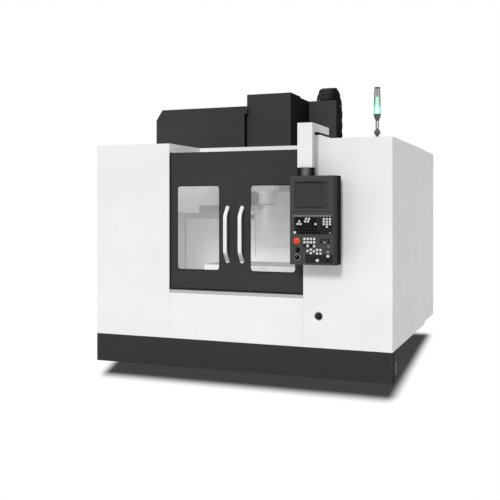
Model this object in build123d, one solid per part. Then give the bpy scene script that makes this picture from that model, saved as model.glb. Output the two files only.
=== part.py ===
from build123d import *
import os
from math import cos, degrees, hypot, pi, radians, sin

# Vertical machining centre with a full sheet-metal enclosure, in millimetres.
# X runs left to right, Y from the front to the back and Z up from the floor.
# While the pieces are built, Y = 0 is the front face of the enclosure and X = 0 the spindle axis.
# At the end everything moves so that the origin is the middle of the footprint.

# Enclosure
enclosure_width = 3026.0
enclosure_height = 2200.0
guard_depth = 1820.0
sheet = 3.0
skirt_height = 287.0
skirt_return = 106.0
floor_gap = 10.0
side_panel_width = 824.0
panel_edge = 28.0
lintel_y = 710.0
lintel_drop = 120.0
wall_margin = 263.0

# Doors
door_bottom = 780.0
door_top_drop = 92.0
door_setback = 20.0
door_thickness = 42.0
door_gap = 2.0
sill_bottom = 732.0
sill_height = 30.0
window_side = 83.0
window_above = 330.0
window_bottom = 967.0
window_from_centre = 162.0
window_corner = 30.0
glass_thickness = 8.0
handle_x = 75.0
handle_low = 1040.0
handle_high = 1584.0
handle_standoff = 74.0
handle_leg = 100.0
handle_width = 38.0
handle_depth = 24.0

# Bed, column and feet
bed_front = 250.0
bed_rear = 2330.0
bed_top = 620.0
bed_underside = 60.0
bed_wall = 34.0
foot_radius = 62.0
foot_height = 26.0
foot_stud_radius = 18.0
anchor_pad_width = 130.0
anchor_inset = 90.0
anchor_spacing_y = 1880.0
anchor_hole_radius = 19.0
anchor_pad_height = 46.0
column_half_width = 330.0
column_front = 1500.0
column_depth = 700.0
column_rise = 280.0
column_wall = 42.0

# Slides
rail_width = 45.0
rail_height = 42.0
block_length = 110.0
block_height = 60.0
block_width = 120.0
slide_gap = 0.3
y_rail_spacing = 620.0
x_rail_spacing = 380.0
z_rail_spacing = 220.0
spindle_reach = 586.0
table_length = 1200.0
table_depth = 600.0
table_height = 84.0
table_top = 970.0
slot_count = 5
slot_pitch = 100.0
slot_neck = 18.0
slot_neck_depth = 30.0
slot_foot = 32.0
slot_foot_depth = 14.0
table_travel_y = 265.0
head_travel = 540.0
screw_radius = 20.0
screw_gap = 0.3
screw_lead = 16.0
z_motor_size = 140.0
z_motor_length = 200.0

# Head and spindle
nose_below_roof = 600.0
nose_length = 138.0
nose_radius = 86.5
spindle_radius = 44.0
spindle_gap = 0.05
taper_mouth_radius = 22.2
taper_length = 65.4
taper_ratio = 7.0 / 24.0
head_half_width = 165.0
head_height = 497.0
cover_left_reach = 180.0
cover_right = 305.0
cover_nose = 118.0
cover_rear_gap = 58.0
cover_drop = 80.0
cover_rise = 558.0

# Tool magazine
magazine_margin = 24.0
magazine_gap = 6.0
magazine_depth = 757.0
magazine_rise = 450.0
magazine_bevel_x = 130.0
magazine_bevel_z = 133.0
disc_shift = 106.0
disc_rise = 35.0
disc_margin = 148.0
disc_thickness = 30.0
pot_count = 24
pot_inset = 47.0
pot_radius = 34.0
pot_length = 96.0
change_y = 1250.0
hub_radius = 55.0
arm_below_nose = 60.0
arm_thickness = 50.0
arm_width = 84.0
arm_drop = 110.0
arm_shaft_radius = 30.0
guard_front_gap = 25.0
guard_step_inset = 6.0
guard_low_drop = 689.0
guard_high_drop = 608.0
guard_side_gap = 80.0
guard_top_drop = 100.0

# Carrier cover and cable carrier
carrier_cover_width = 307.0
carrier_cover_lap = 40.0
carrier_cover_gap = 4.0
carrier_cover_rise = 545.0
carrier_side_gap = 32.0
carrier_width = 163.0
carrier_front_gap = 23.0
carrier_loop = 544.0
carrier_rise = 732.0
carrier_band = 62.0
carrier_front_rise = 50.0
carrier_rear_drop = 150.0

# Operator pendant
arm_side_gap = 80.0
beam_width = 140.0
beam_height = 90.0
beam_rise = 38.0
beam_setback = 35.0
beam_rear = 347.0
drop_below_roof = 272.0
pendant_overhang = 128.0
pendant_width = 426.0
pendant_reach = 243.0
pendant_depth = 163.0
pendant_height = 791.0
pendant_edge = 26.0
swivel_radius = 77.0
swivel_gap = 0.5
swivel_drum = 75.0

# Signal lamp
lamp_inset = 153.0
lamp_y = 80.0
lamp_joint_rise = 47.0
lamp_pole_length = 99.0
lamp_cup_height = 62.0
lamp_lens_height = 244.0
lamp_low_radius = 33.0
lamp_high_radius = 26.0

# Electrical cabinet and tank
cabinet_width = 633.0
cabinet_rear = 2487.0
cabinet_bottom = 315.0
cabinet_drop = 8.0
cabinet_sheet = 4.0
tank_inset = 60.0
tank_gap = 13.0
tank_depth = 620.0
tank_height = 250.0

# Smaller sizes of the bed, slides and drives
bed_base_half = 470.0
bed_channel_half = 110.0
bed_channel_depth = 110.0
bed_rib_count = 4
anchor_pad_length = 160.0
foot_inset = 200.0
column_toe = 120.0
column_foot_height = 420.0
screw_block = 70.0
screw_bearing = 60.0
screw_journal = 70.0
nut_length = 90.0
y_screw_drop = 60.0
x_screw_rise = 30.0
z_screw_gap = 26.0
y_motor_size = 110.0
y_motor_length = 90.0
x_motor_size = 110.0
x_motor_length = 190.0
x_motor_drop = 81.0
z_motor_offset = 100.0
belt_case = 18.0
belt_case_height = 40.0
saddle_side = 420.0
saddle_overrun = 320.0
saddle_depth = 540.0
saddle_wing_height = 70.0
saddle_root_half = 430.0
carriage_spacing_x = 500.0
carriage_spacing_y = 380.0
carriage_inset = 72.0
rail_end = 15.0
column_slot_half = 176.0
column_window_rise = (500.0, 1000.0)
column_window_depth = 280.0
column_window_height = 330.0
column_window_corner = 70.0
column_seam = 15.0

# Smaller sizes of the head and spindle
head_slide_length = 657.0
head_slide_depth = 110.0
head_chamfer = 40.0
head_nut_drop = 165.0
flange_radius = 115.0
flange_thickness = 20.0
drawbar_radius = 13.0
cover_step = 14.0
cover_step_y = 1130.0
spindle_motor_size = 200.0
spindle_motor_length = 380.0
way_cover_half = 236.0
way_leaf_count = 4
way_leaf_lap = 10.0

# Smaller sizes of the magazine and the cable carrier
disc_shaft_radius = 38.0
bracket_gap = 24.0
bracket_plate = 30.0
bracket_lap = 25.0
bracket_side_gap = 35.0
bracket_rise = 220.0
change_box = 100.0
change_box_drop = 370.0
change_box_height = 110.0
jaw_radius = 20.0
jaw_wall = 12.0
carrier_arm_height = 40.0
carrier_link = 62.0
carrier_link_count = 11
carrier_groove = 6.0

# Smaller sizes of the guard and doors
panel_lip = 14.0
seam_gap = 0.5
sill_margin = 8.0
track_end_gap = 10.0
guide_width = 4.0
guide_depth = 15.0
guide_drop = 28.0
header_drop = 8.0
header_height = 50.0
header_wall = 10.0
header_gap = 4.0
hanger_inset = 110.0
liner_front = 108.0
liner_bottom = 700.0
tray_drop = 137.0
window_lap = 14.0
handle_bend = 36.0
handle_foot = 6.0
skirt_screw_inset = (118.0, 998.0)
skirt_screw_z = (60.0, 228.0)
screw_head_radius = 7.0
ring_port_inset = 52.0
ring_port_z = (175.0, 233.0)
ring_port_radius = 11.0
port_inset = 677.0
port_z = 576.0
port_radius = 36.0
port_depth = 46.0
port_bore_radius = 9.0

# Smaller sizes of the pendant, lamp, cabinet and tank
foot_front = 20.0
foot_margin = 8.0
foot_plate = 10.0
swivel_pin_radius = 30.0
screen_left = 40.0
screen_top = 42.0
screen_width = 312.0
screen_height = 250.0
screen_recess = 7.0
groove_left = 32.0
groove_right = 387.0
groove_drop = 316.0
control_places = {"stop": (65.0, 581.0), "selector": (73.0, 660.0), "dial": (69.0, 725.0)}
control_stem = 9.0
control_depth = 24.0
control_boss_radius = 17.0
pendant_wall = 4.0
pendant_front_wall = 11.0
stop_ring_radius = 30.0
stop_radius = 22.0
stop_travel = 5.0
selector_radius = 17.0
dial_radius = 22.0
key_rise = 2.5
lamp_foot_radius = 40.0
lamp_fork_radius = 26.0
lamp_ball_radius = 25.0
lamp_eye_radius = 15.0
lamp_cheek_radius = 11.0
lamp_eye_half = 9.0
lamp_pin_radius = 6.0
lamp_pole_radius = 14.0
cabinet_door_thickness = 24.0
louvre_count = 8
louvre_pitch = 34.0
isolator_inset = 80.0
isolator_z = 1500.0
isolator_radius = 12.0
tank_low = 45.0
tank_back_gap = 20.0
tank_wall = 4.0
tank_foot_inset = 80.0
tank_foot_radius = 30.0
pump_inset = (190.0, 420.0)
pump_back_inset = 170.0
pump_flange_radius = 82.0
pump_flange_height = 26.0
pump_radius = 62.0
pump_length = 224.0
pump_cap_radius = 66.0
pump_cap_height = 40.0

half_width = enclosure_width / 2
opening_half = half_width - side_panel_width
pieces = {}


def keep(name, solid):
    pieces[name] = solid


def block(x, y, z):
    """A solid block between two bounds on each axis."""
    return Pos((x[0] + x[1]) / 2, (y[0] + y[1]) / 2, (z[0] + z[1]) / 2) * Box(
        x[1] - x[0], y[1] - y[0], z[1] - z[0]
    )


def prism(points, axis, low, high):
    """A closed outline extruded along an axis: (y, z) for X, (x, z) for Y and (x, y) for Z."""
    origin = {"X": (low, 0, 0), "Y": (0, high, 0), "Z": (0, 0, low)}[axis]
    along = {"X": (0, 1, 0), "Y": (1, 0, 0), "Z": (1, 0, 0)}[axis]
    normal = {"X": (1, 0, 0), "Y": (0, -1, 0), "Z": (0, 0, 1)}[axis]
    face = make_face(Polyline(*points, close=True))
    return extrude(Plane(origin, x_dir=along, z_dir=normal) * face, amount=high - low)


def rod(axis, centre, radius, low, high):
    """A round bar along an axis; centre holds the two other coordinates in X, Y, Z order."""
    length = high - low
    middle = (low + high) / 2
    if axis == "X":
        return Pos(middle, centre[0], centre[1]) * Rot(0, 90, 0) * Cylinder(radius, length)
    if axis == "Y":
        return Pos(centre[0], middle, centre[1]) * Rot(90, 0, 0) * Cylinder(radius, length)
    return Pos(centre[0], centre[1], middle) * Cylinder(radius, length)


def rounded_plate(x, y, z, corner):
    """A plate facing the front whose four corners in the X-Z plane are rounded."""
    middle = ((x[0] + x[1]) / 2, y[1], (z[0] + z[1]) / 2)
    plane = Plane(middle, x_dir=(1, 0, 0), z_dir=(0, -1, 0))
    return extrude(plane * RectangleRounded(x[1] - x[0], z[1] - z[0], corner), amount=y[1] - y[0])


def mirrored(solid):
    return mirror(solid, about=Plane.YZ)


# Sizes worked out from the ones above
wall_x = half_width - wall_margin
column_top = enclosure_height + column_rise
door_top = enclosure_height - door_top_drop
window_width = opening_half - window_from_centre - window_side
window_height = door_top - window_above - window_bottom
wall_y = column_front - sheet
bed_half_width = bed_base_half + anchor_pad_width
anchor_spacing_x = 2 * (bed_half_width - anchor_inset)
spindle_y = column_front - spindle_reach
saddle_length = 2 * (wall_x - saddle_side)
table_travel_x = saddle_length / 2 - saddle_overrun
nose_bottom = enclosure_height - nose_below_roof
head_underside = nose_bottom + nose_length
head_top = head_underside + head_height
head_slide_top = head_underside + head_slide_length
head_nut_z = head_top - head_nut_drop
cover_left = -cover_left_reach
cover_front = spindle_y - cover_nose
cover_rear = column_front - cover_rear_gap
cover_bottom = enclosure_height - cover_drop
cover_top = enclosure_height + cover_rise
magazine_left = -wall_x + magazine_margin
magazine_right = cover_left - magazine_gap
magazine_front = wall_y - magazine_depth
magazine_top = enclosure_height + magazine_rise
disc_x = (magazine_left + magazine_right) / 2 + disc_shift
disc_z = enclosure_height + disc_rise
disc_radius = (magazine_right - magazine_left) / 2 - disc_margin
pot_circle = disc_radius - pot_inset
arm_bottom = nose_bottom - arm_below_nose
guard_front = lintel_y - guard_front_gap
guard_step_x = -opening_half + guard_step_inset
key_unit = pendant_width / 426
cabinet_unit = cabinet_width / 633
guard_low = enclosure_height - guard_low_drop
guard_high = enclosure_height - guard_high_drop
guard_right = -head_half_width - guard_side_gap
guard_top = enclosure_height - guard_top_drop
carrier_cover_right = cover_right + carrier_cover_width
carrier_cover_top = enclosure_height + carrier_cover_rise
carrier_left = column_half_width + carrier_side_gap
carrier_right = carrier_left + carrier_width
carrier_front = column_front + carrier_front_gap
carrier_rear = carrier_front + carrier_loop
carrier_top = enclosure_height + carrier_rise
carrier_front_end = enclosure_height + carrier_front_rise
carrier_rear_end = enclosure_height - carrier_rear_drop
arm_x = opening_half + arm_side_gap
beam_bottom = enclosure_height + beam_rise
beam_front = beam_setback - pendant_reach
swivel_y = beam_front + beam_height / 2
drop_bottom = enclosure_height - drop_below_roof
pendant_left = arm_x - pendant_overhang
pendant_front = -pendant_reach
pendant_top = drop_bottom - swivel_drum
lamp_x = half_width - lamp_inset
lamp_joint_z = enclosure_height + lamp_joint_rise
lamp_pole_top = lamp_joint_z + lamp_pole_length
lamp_cup_top = lamp_pole_top + lamp_cup_height
lamp_top = lamp_cup_top + lamp_lens_height
cabinet_left = half_width - cabinet_width
cabinet_top = enclosure_height - cabinet_drop
isolator_x = cabinet_left + isolator_inset
tank_length = half_width - tank_inset - bed_half_width - tank_gap
track_half = wall_x - track_end_gap
header_high = door_top - header_drop
header_low = header_high - header_height
ring_port_x = half_width - ring_port_inset
port_x = half_width - port_inset
saddle_bottom = bed_top + block_height
saddle_top = table_top - table_height - block_height
head_rear = column_front - block_height
panel_top = enclosure_height - sheet
door_front = door_setback
door_back = door_setback + door_thickness
y_screw_z = bed_top - y_screw_drop
x_screw_z = saddle_top + x_screw_rise
x_motor_z = saddle_top - x_motor_drop
z_screw_y = column_front - z_screw_gap
z_screw_high = column_top - screw_bearing / 2
z_screw_low = head_underside - head_travel - screw_bearing / 2 - 12
table_bottom = table_top - table_height
foot_spacing_x = 2 * bed_base_half - bed_wall
y_rail_half = table_travel_y + carriage_spacing_y / 2 + block_length / 2 + rail_end
y_rail_front = spindle_y - y_rail_half
y_rail_rear = spindle_y + y_rail_half
z_rail_low = head_underside + carriage_inset - head_travel - block_length / 2 - rail_end
z_rail_high = head_slide_top - carriage_inset + block_length / 2 + rail_end
wall_slot_low = z_screw_low - screw_bearing / 2 - 10
head_front = cover_front + sheet
change_x = disc_x / 2
bracket_left = change_x - bracket_lap
bracket_right = -head_half_width - bracket_side_gap
bracket_top = enclosure_height + bracket_rise
change_box_low = enclosure_height - change_box_drop
change_box_high = change_box_low + change_box_height
change_arm_y = (spindle_y + change_y) / 2
tray_low = liner_bottom - tray_drop
tray_bridge = bed_top + sheet + 2


def bed_casting():
    """Long box casting with a channel for the ball screw and a foot pad at each corner."""
    outline = [
        (-bed_base_half, bed_underside),
        (bed_base_half, bed_underside),
        (bed_base_half, bed_top),
        (bed_channel_half, bed_top),
        (bed_channel_half, bed_top - bed_channel_depth),
        (-bed_channel_half, bed_top - bed_channel_depth),
        (-bed_channel_half, bed_top),
        (-bed_base_half, bed_top),
    ]
    bed = prism(outline, "Y", bed_front, bed_rear)
    hollow = block(
        (-bed_base_half + bed_wall, bed_base_half - bed_wall),
        (bed_front + bed_wall, bed_rear - bed_wall),
        (bed_underside - 1, bed_top - bed_channel_depth - bed_wall),
    )
    bed -= hollow
    rib_step = (bed_rear - bed_front) / (bed_rib_count + 1)
    for index in range(1, bed_rib_count + 1):
        y = bed_front + index * rib_step
        bed += block(
            (-bed_base_half + bed_wall, bed_base_half - bed_wall),
            (y - bed_wall / 2, y + bed_wall / 2),
            (bed_underside + 60, bed_top - bed_channel_depth - bed_wall),
        )
    middle = (bed_front + bed_rear) / 2
    for side in (-1, 1):
        for end in (-1, 1):
            y = middle + end * anchor_spacing_y / 2
            x = side * anchor_spacing_x / 2
            pad = block(
                sorted((side * bed_base_half, side * bed_half_width)),
                (y - anchor_pad_length / 2, y + anchor_pad_length / 2),
                (bed_underside, bed_underside + anchor_pad_height),
            )
            bed += pad
            pad_top = bed_underside + anchor_pad_height
            bed -= rod("Z", (x, y), anchor_hole_radius, bed_underside - 1, pad_top + 1)
    for y in (bed_front + screw_block / 2, column_front - screw_block / 2 - 8):
        bed += block(
            (-bed_channel_half, bed_channel_half),
            (y - screw_block / 2, y + screw_block / 2),
            (bed_top - bed_channel_depth, y_screw_z + screw_block / 2),
        )
    bed -= rod("Y", (0, y_screw_z), screw_radius + screw_gap, bed_front - 1, column_front)
    return bed


def levelling_feet():
    """Six jack pads: a wide foot with a stud up to the casting."""
    profile = [
        (0, 0),
        (foot_radius, 0),
        (foot_radius, foot_height * 0.4),
        (foot_radius * 0.55, foot_height),
        (foot_stud_radius, foot_height),
        (foot_stud_radius, bed_underside),
        (0, bed_underside),
    ]
    foot = revolve(Plane.XZ * make_face(Polyline(*profile, close=True)), Axis.Z)
    feet = []
    for x in (-foot_spacing_x / 2, foot_spacing_x / 2):
        for step in range(3):
            y = bed_front + foot_inset + step * (bed_rear - bed_front - 2 * foot_inset) / 2
            feet.append(Pos(x, y, 0) * foot)
    return Compound(feet)


def column_casting():
    """Hollow column, wide at the foot, with side windows and pads for the Z rails."""
    rear = column_front + column_depth
    outline = [
        (column_front, bed_top),
        (rear, bed_top),
        (rear, bed_top + column_foot_height),
        (rear - column_toe, column_top),
        (column_front, column_top),
    ]
    column = prism(outline, "X", -column_half_width, column_half_width)
    column -= block(
        (-column_half_width + column_wall, column_half_width - column_wall),
        (column_front + column_wall * 1.5, rear - column_wall * 2),
        (bed_top - 1, column_top - column_wall * 1.5),
    )
    middle = (column_front + rear) / 2
    for rise in column_window_rise:
        plane = Plane((-column_half_width - 1, middle, bed_top + rise), x_dir=(0, 1, 0), z_dir=(1, 0, 0))
        window = extrude(
            plane * RectangleRounded(column_window_depth, column_window_height, column_window_corner),
            amount=2 * column_half_width + 2,
        )
        column -= window
    for z in (z_screw_low, z_screw_high):
        column += block(
            (-screw_block / 2, screw_block / 2),
            (cover_rear + 4, column_front),
            (z - screw_bearing / 2, z + screw_bearing / 2),
        )
        column -= rod("Z", (0, z_screw_y), screw_radius + screw_gap, z - screw_bearing, z + screw_bearing)
    # Pad on the right side that holds the fixed end of the cable carrier
    column += block(
        (column_half_width, carrier_right),
        (carrier_rear - carrier_band, carrier_rear),
        (carrier_rear_end - 70, carrier_rear_end),
    )
    return column


def rail(length):
    """Profile rail along X, standing on Z = 0, with waisted flanks."""
    half = rail_width / 2
    points = [
        (-half, 0),
        (half, 0),
        (half, rail_height * 0.35),
        (half * 0.78, rail_height * 0.55),
        (half, rail_height * 0.8),
        (half * 0.85, rail_height),
        (-half * 0.85, rail_height),
        (-half, rail_height * 0.8),
        (-half * 0.78, rail_height * 0.55),
        (-half, rail_height * 0.35),
    ]
    return prism(points, "X", -length / 2, length / 2)


def carriage():
    """Block that straddles a rail; its top is the mounting face."""
    half = rail_width / 2 + slide_gap
    body = block(
        (-block_length / 2, block_length / 2),
        (-block_width / 2, block_width / 2),
        (rail_height * 0.25, block_height),
    )
    body = chamfer(body.edges().filter_by(Axis.X), 5)
    return body - block((-block_length, block_length), (-half, half), (-1, rail_height + slide_gap))


def guide_rails():
    """Two Y rails on the bed and two Z rails on the column."""
    rails = []
    for side in (-1, 1):
        x = side * y_rail_spacing / 2
        y_rail = Pos(x, (y_rail_front + y_rail_rear) / 2, bed_top) * Rot(0, 0, 90)
        rails.append(y_rail * rail(y_rail_rear - y_rail_front))
        x = side * z_rail_spacing / 2
        z_rail = Pos(x, column_front, (z_rail_low + z_rail_high) / 2) * Rot(90, 0, 0) * Rot(0, 0, 90)
        rails.append(z_rail * rail(z_rail_high - z_rail_low))
    return Compound(rails)


def servo_motor(size, length):
    """Square servo motor along +Z from its flange at Z = 0, with a connector cap."""
    flange = Pos(0, 0, 8) * Box(size, size, 16)
    flange = chamfer(flange.edges().filter_by(Axis.Z), size * 0.1)
    barrel = Pos(0, 0, length * 0.5 + 8) * Box(size * 0.9, size * 0.9, length - 16)
    barrel = fillet(barrel.edges().filter_by(Axis.Z), size * 0.14)
    cap = Pos(0, 0, length + 18) * Cylinder(size * 0.36, 36)
    plug = Pos(0, size * 0.5, length * 0.8) * Box(size * 0.3, size * 0.3, size * 0.3)
    return flange + barrel + cap + plug


def axis_motors():
    """Y motor at the front of the bed and Z motor with its belt case on top of the column."""
    y_place = Pos(0, bed_front, y_screw_z) * Rot(90, 0, 0) * Rot(0, 0, 90)
    y_motor = y_place * servo_motor(y_motor_size, y_motor_length)
    case = block(
        (-z_motor_size / 2, z_motor_size / 2),
        (cover_rear + 4, z_screw_y + z_motor_offset + z_motor_size / 2),
        (column_top, column_top + belt_case_height),
    )
    case = fillet(case.edges().filter_by(Axis.Z), 20)
    z_motor = Pos(0, z_screw_y + z_motor_offset, column_top + belt_case_height)
    z_motor = case + z_motor * servo_motor(z_motor_size, z_motor_length)
    return Compound([y_motor, z_motor])


def ball_screw(low, high):
    """Ground screw along Z with a thread form of shallow rounded rings between plain journals."""
    journal = screw_journal
    ring = screw_lead
    turns = int((high - low - 2 * journal) // ring)
    start = (low + high) / 2 - turns * ring / 2
    points = [(0, low), (screw_radius * 0.75, low), (screw_radius * 0.75, start)]
    for index in range(turns):
        z = start + index * ring
        points += [(screw_radius, z + 1), (screw_radius, z + ring - 5), (screw_radius * 0.86, z + ring - 3)]
    points += [(screw_radius * 0.75, start + turns * ring), (screw_radius * 0.75, high), (0, high)]
    return revolve(Plane.XZ * make_face(Polyline(*points, close=True)), Axis.Z)


def saddle():
    """Cross slide: a long body with tapered wings, its nut and the four carriages under it."""
    wing = saddle_length / 2
    outline = [
        (-wing, saddle_top),
        (-wing, saddle_top - saddle_wing_height),
        (-saddle_root_half, saddle_bottom),
        (saddle_root_half, saddle_bottom),
        (wing, saddle_top - saddle_wing_height),
        (wing, saddle_top),
    ]
    body = prism(outline, "Y", spindle_y - saddle_depth / 2, spindle_y + saddle_depth / 2)
    for side in (-1, 1):
        x = side * y_rail_spacing / 2
        for end in (-1, 1):
            y = spindle_y + end * carriage_spacing_y / 2
            body += Pos(x, y, bed_top) * Rot(0, 0, 90) * carriage()
        support = side * (table_travel_x + nut_length / 2 + screw_bearing)
        body += block(
            (support - screw_bearing / 2, support + screw_bearing / 2),
            (spindle_y - nut_length / 2, spindle_y + nut_length / 2),
            (saddle_top, table_bottom - 2),
        )
    body += block(
        (-nut_length / 2, nut_length / 2),
        (spindle_y - nut_length / 2, spindle_y + nut_length / 2),
        (y_screw_z - screw_radius - 12, saddle_bottom),
    )
    for side in (-1, 1):
        place = Pos(0, spindle_y + side * x_rail_spacing / 2, saddle_top)
        body += place * rail(saddle_length - 2 * rail_end)
    hole = screw_radius + screw_gap
    body -= rod("Y", (0, y_screw_z), hole, spindle_y - saddle_depth, spindle_y + saddle_depth)
    return body - rod("X", (spindle_y, x_screw_z), hole, -wing, wing)


def cross_motor():
    """X motor under the right wing of the saddle, with the belt case that reaches the screw."""
    x = saddle_length / 2
    case = block((x, x + belt_case), (spindle_y - 60, spindle_y + 60), (x_motor_z - 60, table_bottom - 2))
    case = fillet(case.edges().filter_by(Axis.X), 20)
    place = Pos(x + belt_case, spindle_y, x_motor_z) * Rot(0, 90, 0)
    return case + place * servo_motor(x_motor_size, x_motor_length)


def table():
    """Work table with T-slots along X, coolant lips, carriages and the screw nut below."""
    half_x = table_length / 2
    half_y = table_depth / 2
    top = block((-half_x, half_x), (spindle_y - half_y, spindle_y + half_y), (table_bottom, table_top))
    top = chamfer(top.edges().filter_by(Axis.Z), 12)
    for index in range(slot_count):
        y = spindle_y + (index - (slot_count - 1) / 2) * slot_pitch
        top -= block((-half_x - 1, half_x + 1), (y - slot_neck / 2, y + slot_neck / 2),
                     (table_top - slot_neck_depth, table_top + 1))
        foot_top = table_top - slot_neck_depth + 2
        top -= block((-half_x - 1, half_x + 1), (y - slot_foot / 2, y + slot_foot / 2),
                     (foot_top - slot_foot_depth, foot_top))
    for side in (-1, 1):
        for end in (-1, 1):
            x = end * carriage_spacing_x / 2
            y = spindle_y + side * x_rail_spacing / 2
            top += Pos(x, y, saddle_top) * carriage()
    nut = block(
        (-nut_length / 2, nut_length / 2),
        (spindle_y - nut_length / 2, spindle_y + nut_length / 2),
        (saddle_top + 4, table_bottom),
    )
    return top + nut - rod("X", (spindle_y, x_screw_z), screw_radius + screw_gap, -half_x, half_x)


def spindle_head():
    """Head casting: a slide at the back, a rounded front with the bore for the cartridge."""
    outline = [
        (head_front, head_underside),
        (head_rear, head_underside),
        (head_rear, head_slide_top),
        (head_rear - head_slide_depth, head_slide_top),
        (head_rear - head_slide_depth - 60, head_top),
        (head_front, head_top),
    ]
    head = prism(outline, "X", -head_half_width, head_half_width)
    front_edges = head.edges().filter_by(Axis.Z).group_by(Axis.Y)[0]
    head = chamfer(front_edges, head_chamfer)
    head -= rod("Z", (0, spindle_y), nose_radius + slide_gap, head_underside - 1, head_top + 1)
    for side in (-1, 1):
        for z in (head_underside + carriage_inset, head_slide_top - carriage_inset):
            place = Pos(side * z_rail_spacing / 2, column_front, z) * Rot(90, 0, 0) * Rot(0, 0, 90)
            head += place * carriage()
    head += block(
        (-nut_length / 2, nut_length / 2),
        (head_rear - 1, column_front - 3),
        (head_nut_z - nut_length / 2, head_nut_z + nut_length / 2),
    )
    return head - rod("Z", (0, z_screw_y), screw_radius + screw_gap, head_underside, head_slide_top)


def spindle_cartridge():
    """Sleeve that holds the spindle, with its bolted flange under the head."""
    top = head_top - 60
    bore = spindle_radius + spindle_gap
    outline = [
        (bore, nose_bottom),
        (nose_radius - 14, nose_bottom),
        (nose_radius, nose_bottom + 14),
        (nose_radius, head_underside - flange_thickness),
        (flange_radius, head_underside - flange_thickness),
        (flange_radius, head_underside),
        (nose_radius, head_underside),
        (nose_radius, top),
        (bore, top),
    ]
    sleeve = revolve(Plane.XZ * make_face(Polyline(*outline, close=True)), Axis.Z)
    return Pos(0, spindle_y, 0) * sleeve


def spindle():
    """Turning spindle with the steep taper socket, drawbar hole and two drive keys."""
    low = nose_bottom
    top = head_top - 40
    taper_end = taper_mouth_radius - taper_length * taper_ratio / 2
    outline = [
        (taper_mouth_radius, low),
        (spindle_radius, low),
        (spindle_radius, top),
        (drawbar_radius, top),
        (drawbar_radius, low + taper_length),
        (taper_end, low + taper_length),
    ]
    shaft = revolve(Plane.XZ * make_face(Polyline(*outline, close=True)), Axis.Z)
    for side in (-1, 1):
        x = side * (taper_mouth_radius + 12)
        shaft += block((x - 8, x + 8), (-8, 8), (low - 6, low + 2))
    return Pos(0, spindle_y, 0) * shaft


def head_cover():
    """Folded cover over the spindle motor; open below and towards the column."""
    outside = block((cover_left, cover_right), (cover_front, cover_rear), (cover_bottom, cover_top))
    inside = block(
        (cover_left + sheet, cover_right - sheet),
        (cover_front + sheet, cover_rear + 1),
        (cover_bottom - 1, cover_top - sheet - cover_step),
    )
    lower = block(
        (cover_left - 1, cover_right + 1),
        (cover_step_y, cover_rear + 1),
        (cover_top - cover_step, cover_top + 1),
    )
    return outside - inside - lower


def spindle_motor():
    """Upright spindle motor on the head with a finned barrel and a fan cowl."""
    motor = Pos(0, 0, 12) * Box(spindle_motor_size, spindle_motor_size, 24)
    barrel = Pos(0, 0, 24 + spindle_motor_length / 2) * Box(
        spindle_motor_size * 0.9, spindle_motor_size * 0.9, spindle_motor_length
    )
    barrel = fillet(barrel.edges().filter_by(Axis.Z), 24)
    motor += barrel
    for index in range(6):
        z = 60 + index * 32
        for side in (-1, 1):
            motor += Pos(side * spindle_motor_size * 0.46, 0, z) * Box(16, spindle_motor_size * 0.7, 10)
    motor += Pos(0, 0, 24 + spindle_motor_length + 20) * Cylinder(spindle_motor_size * 0.4, 40)
    return Pos(0, spindle_y, head_top) * motor


def carrier_arm():
    """Bracket from the head to the moving end of the cable carrier."""
    z = (carrier_front_end - carrier_arm_height, carrier_front_end)
    side = block((head_half_width, head_half_width + 20), (head_rear - 60, column_front - 10), z)
    cross = block((head_half_width + 20, carrier_right), (column_front - 47, column_front - 10), z)
    back = block((carrier_left, carrier_right), (column_front - 10, carrier_front + carrier_band), z)
    return side + cross + back


def cable_carrier():
    """Side-bending loop of chain links from the head's bracket to the pad on the column."""
    outer = (carrier_rear - carrier_front) / 2
    inner = outer - carrier_band
    middle = (carrier_front + carrier_rear) / 2
    crown = carrier_top - outer
    width = carrier_right - carrier_left
    ring = Cylinder(outer, width) - Cylinder(inner, width + 2)
    ring = Rot(0, 90, 0) * ring
    ring -= Pos(0, 0, -outer) * Box(width + 4, 3 * outer, 2 * outer)
    loop = Pos((carrier_left + carrier_right) / 2, middle, crown) * ring
    x = (carrier_left, carrier_right)
    loop += block(x, (carrier_front, carrier_front + carrier_band), (carrier_front_end, crown))
    loop += block(x, (carrier_rear - carrier_band, carrier_rear), (carrier_rear_end, crown))
    groove = carrier_groove
    for index in range(1, carrier_link_count):
        angle = radians(180.0 * index / carrier_link_count)
        cut = Rot(degrees(angle), 0, 0) * Pos(0, outer, 0) * Box(width + 2, groove * 2, groove)
        loop -= Pos((carrier_left + carrier_right) / 2, middle, crown) * cut
    for face_y, low in ((carrier_front, carrier_front_end), (carrier_rear, carrier_rear_end)):
        z = crown - carrier_link
        while z > low + carrier_link / 2:
            loop -= Pos((carrier_left + carrier_right) / 2, face_y, z) * Box(width + 2, groove * 2, groove)
            z -= carrier_link
    return loop


def front_side_panel():
    """Right front panel: a sheet with a folded inner edge; the left one is its mirror image."""
    inner = opening_half
    outline = [
        (inner, 0),
        (half_width, 0),
        (half_width, sheet),
        (inner + sheet, sheet),
        (inner + sheet, panel_lip),
        (inner, panel_lip),
    ]
    return prism(outline, "Z", skirt_height, panel_top)


def front_right_panel():
    """Right front panel with the round cup that holds the air coupling."""
    return front_side_panel() - rod("Y", (port_x, port_z), port_radius, -1, sheet + 1)


def front_lower_panel():
    """Sheet below the doors with a shelf folded back under the sill."""
    outline = [
        (0, skirt_height),
        (sheet, skirt_height),
        (sheet, sill_bottom - sheet),
        (door_back + sill_margin, sill_bottom - sheet),
        (door_back + sill_margin, sill_bottom),
        (0, sill_bottom),
    ]
    inner = opening_half - seam_gap
    return prism(outline, "X", -inner, inner)


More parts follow.
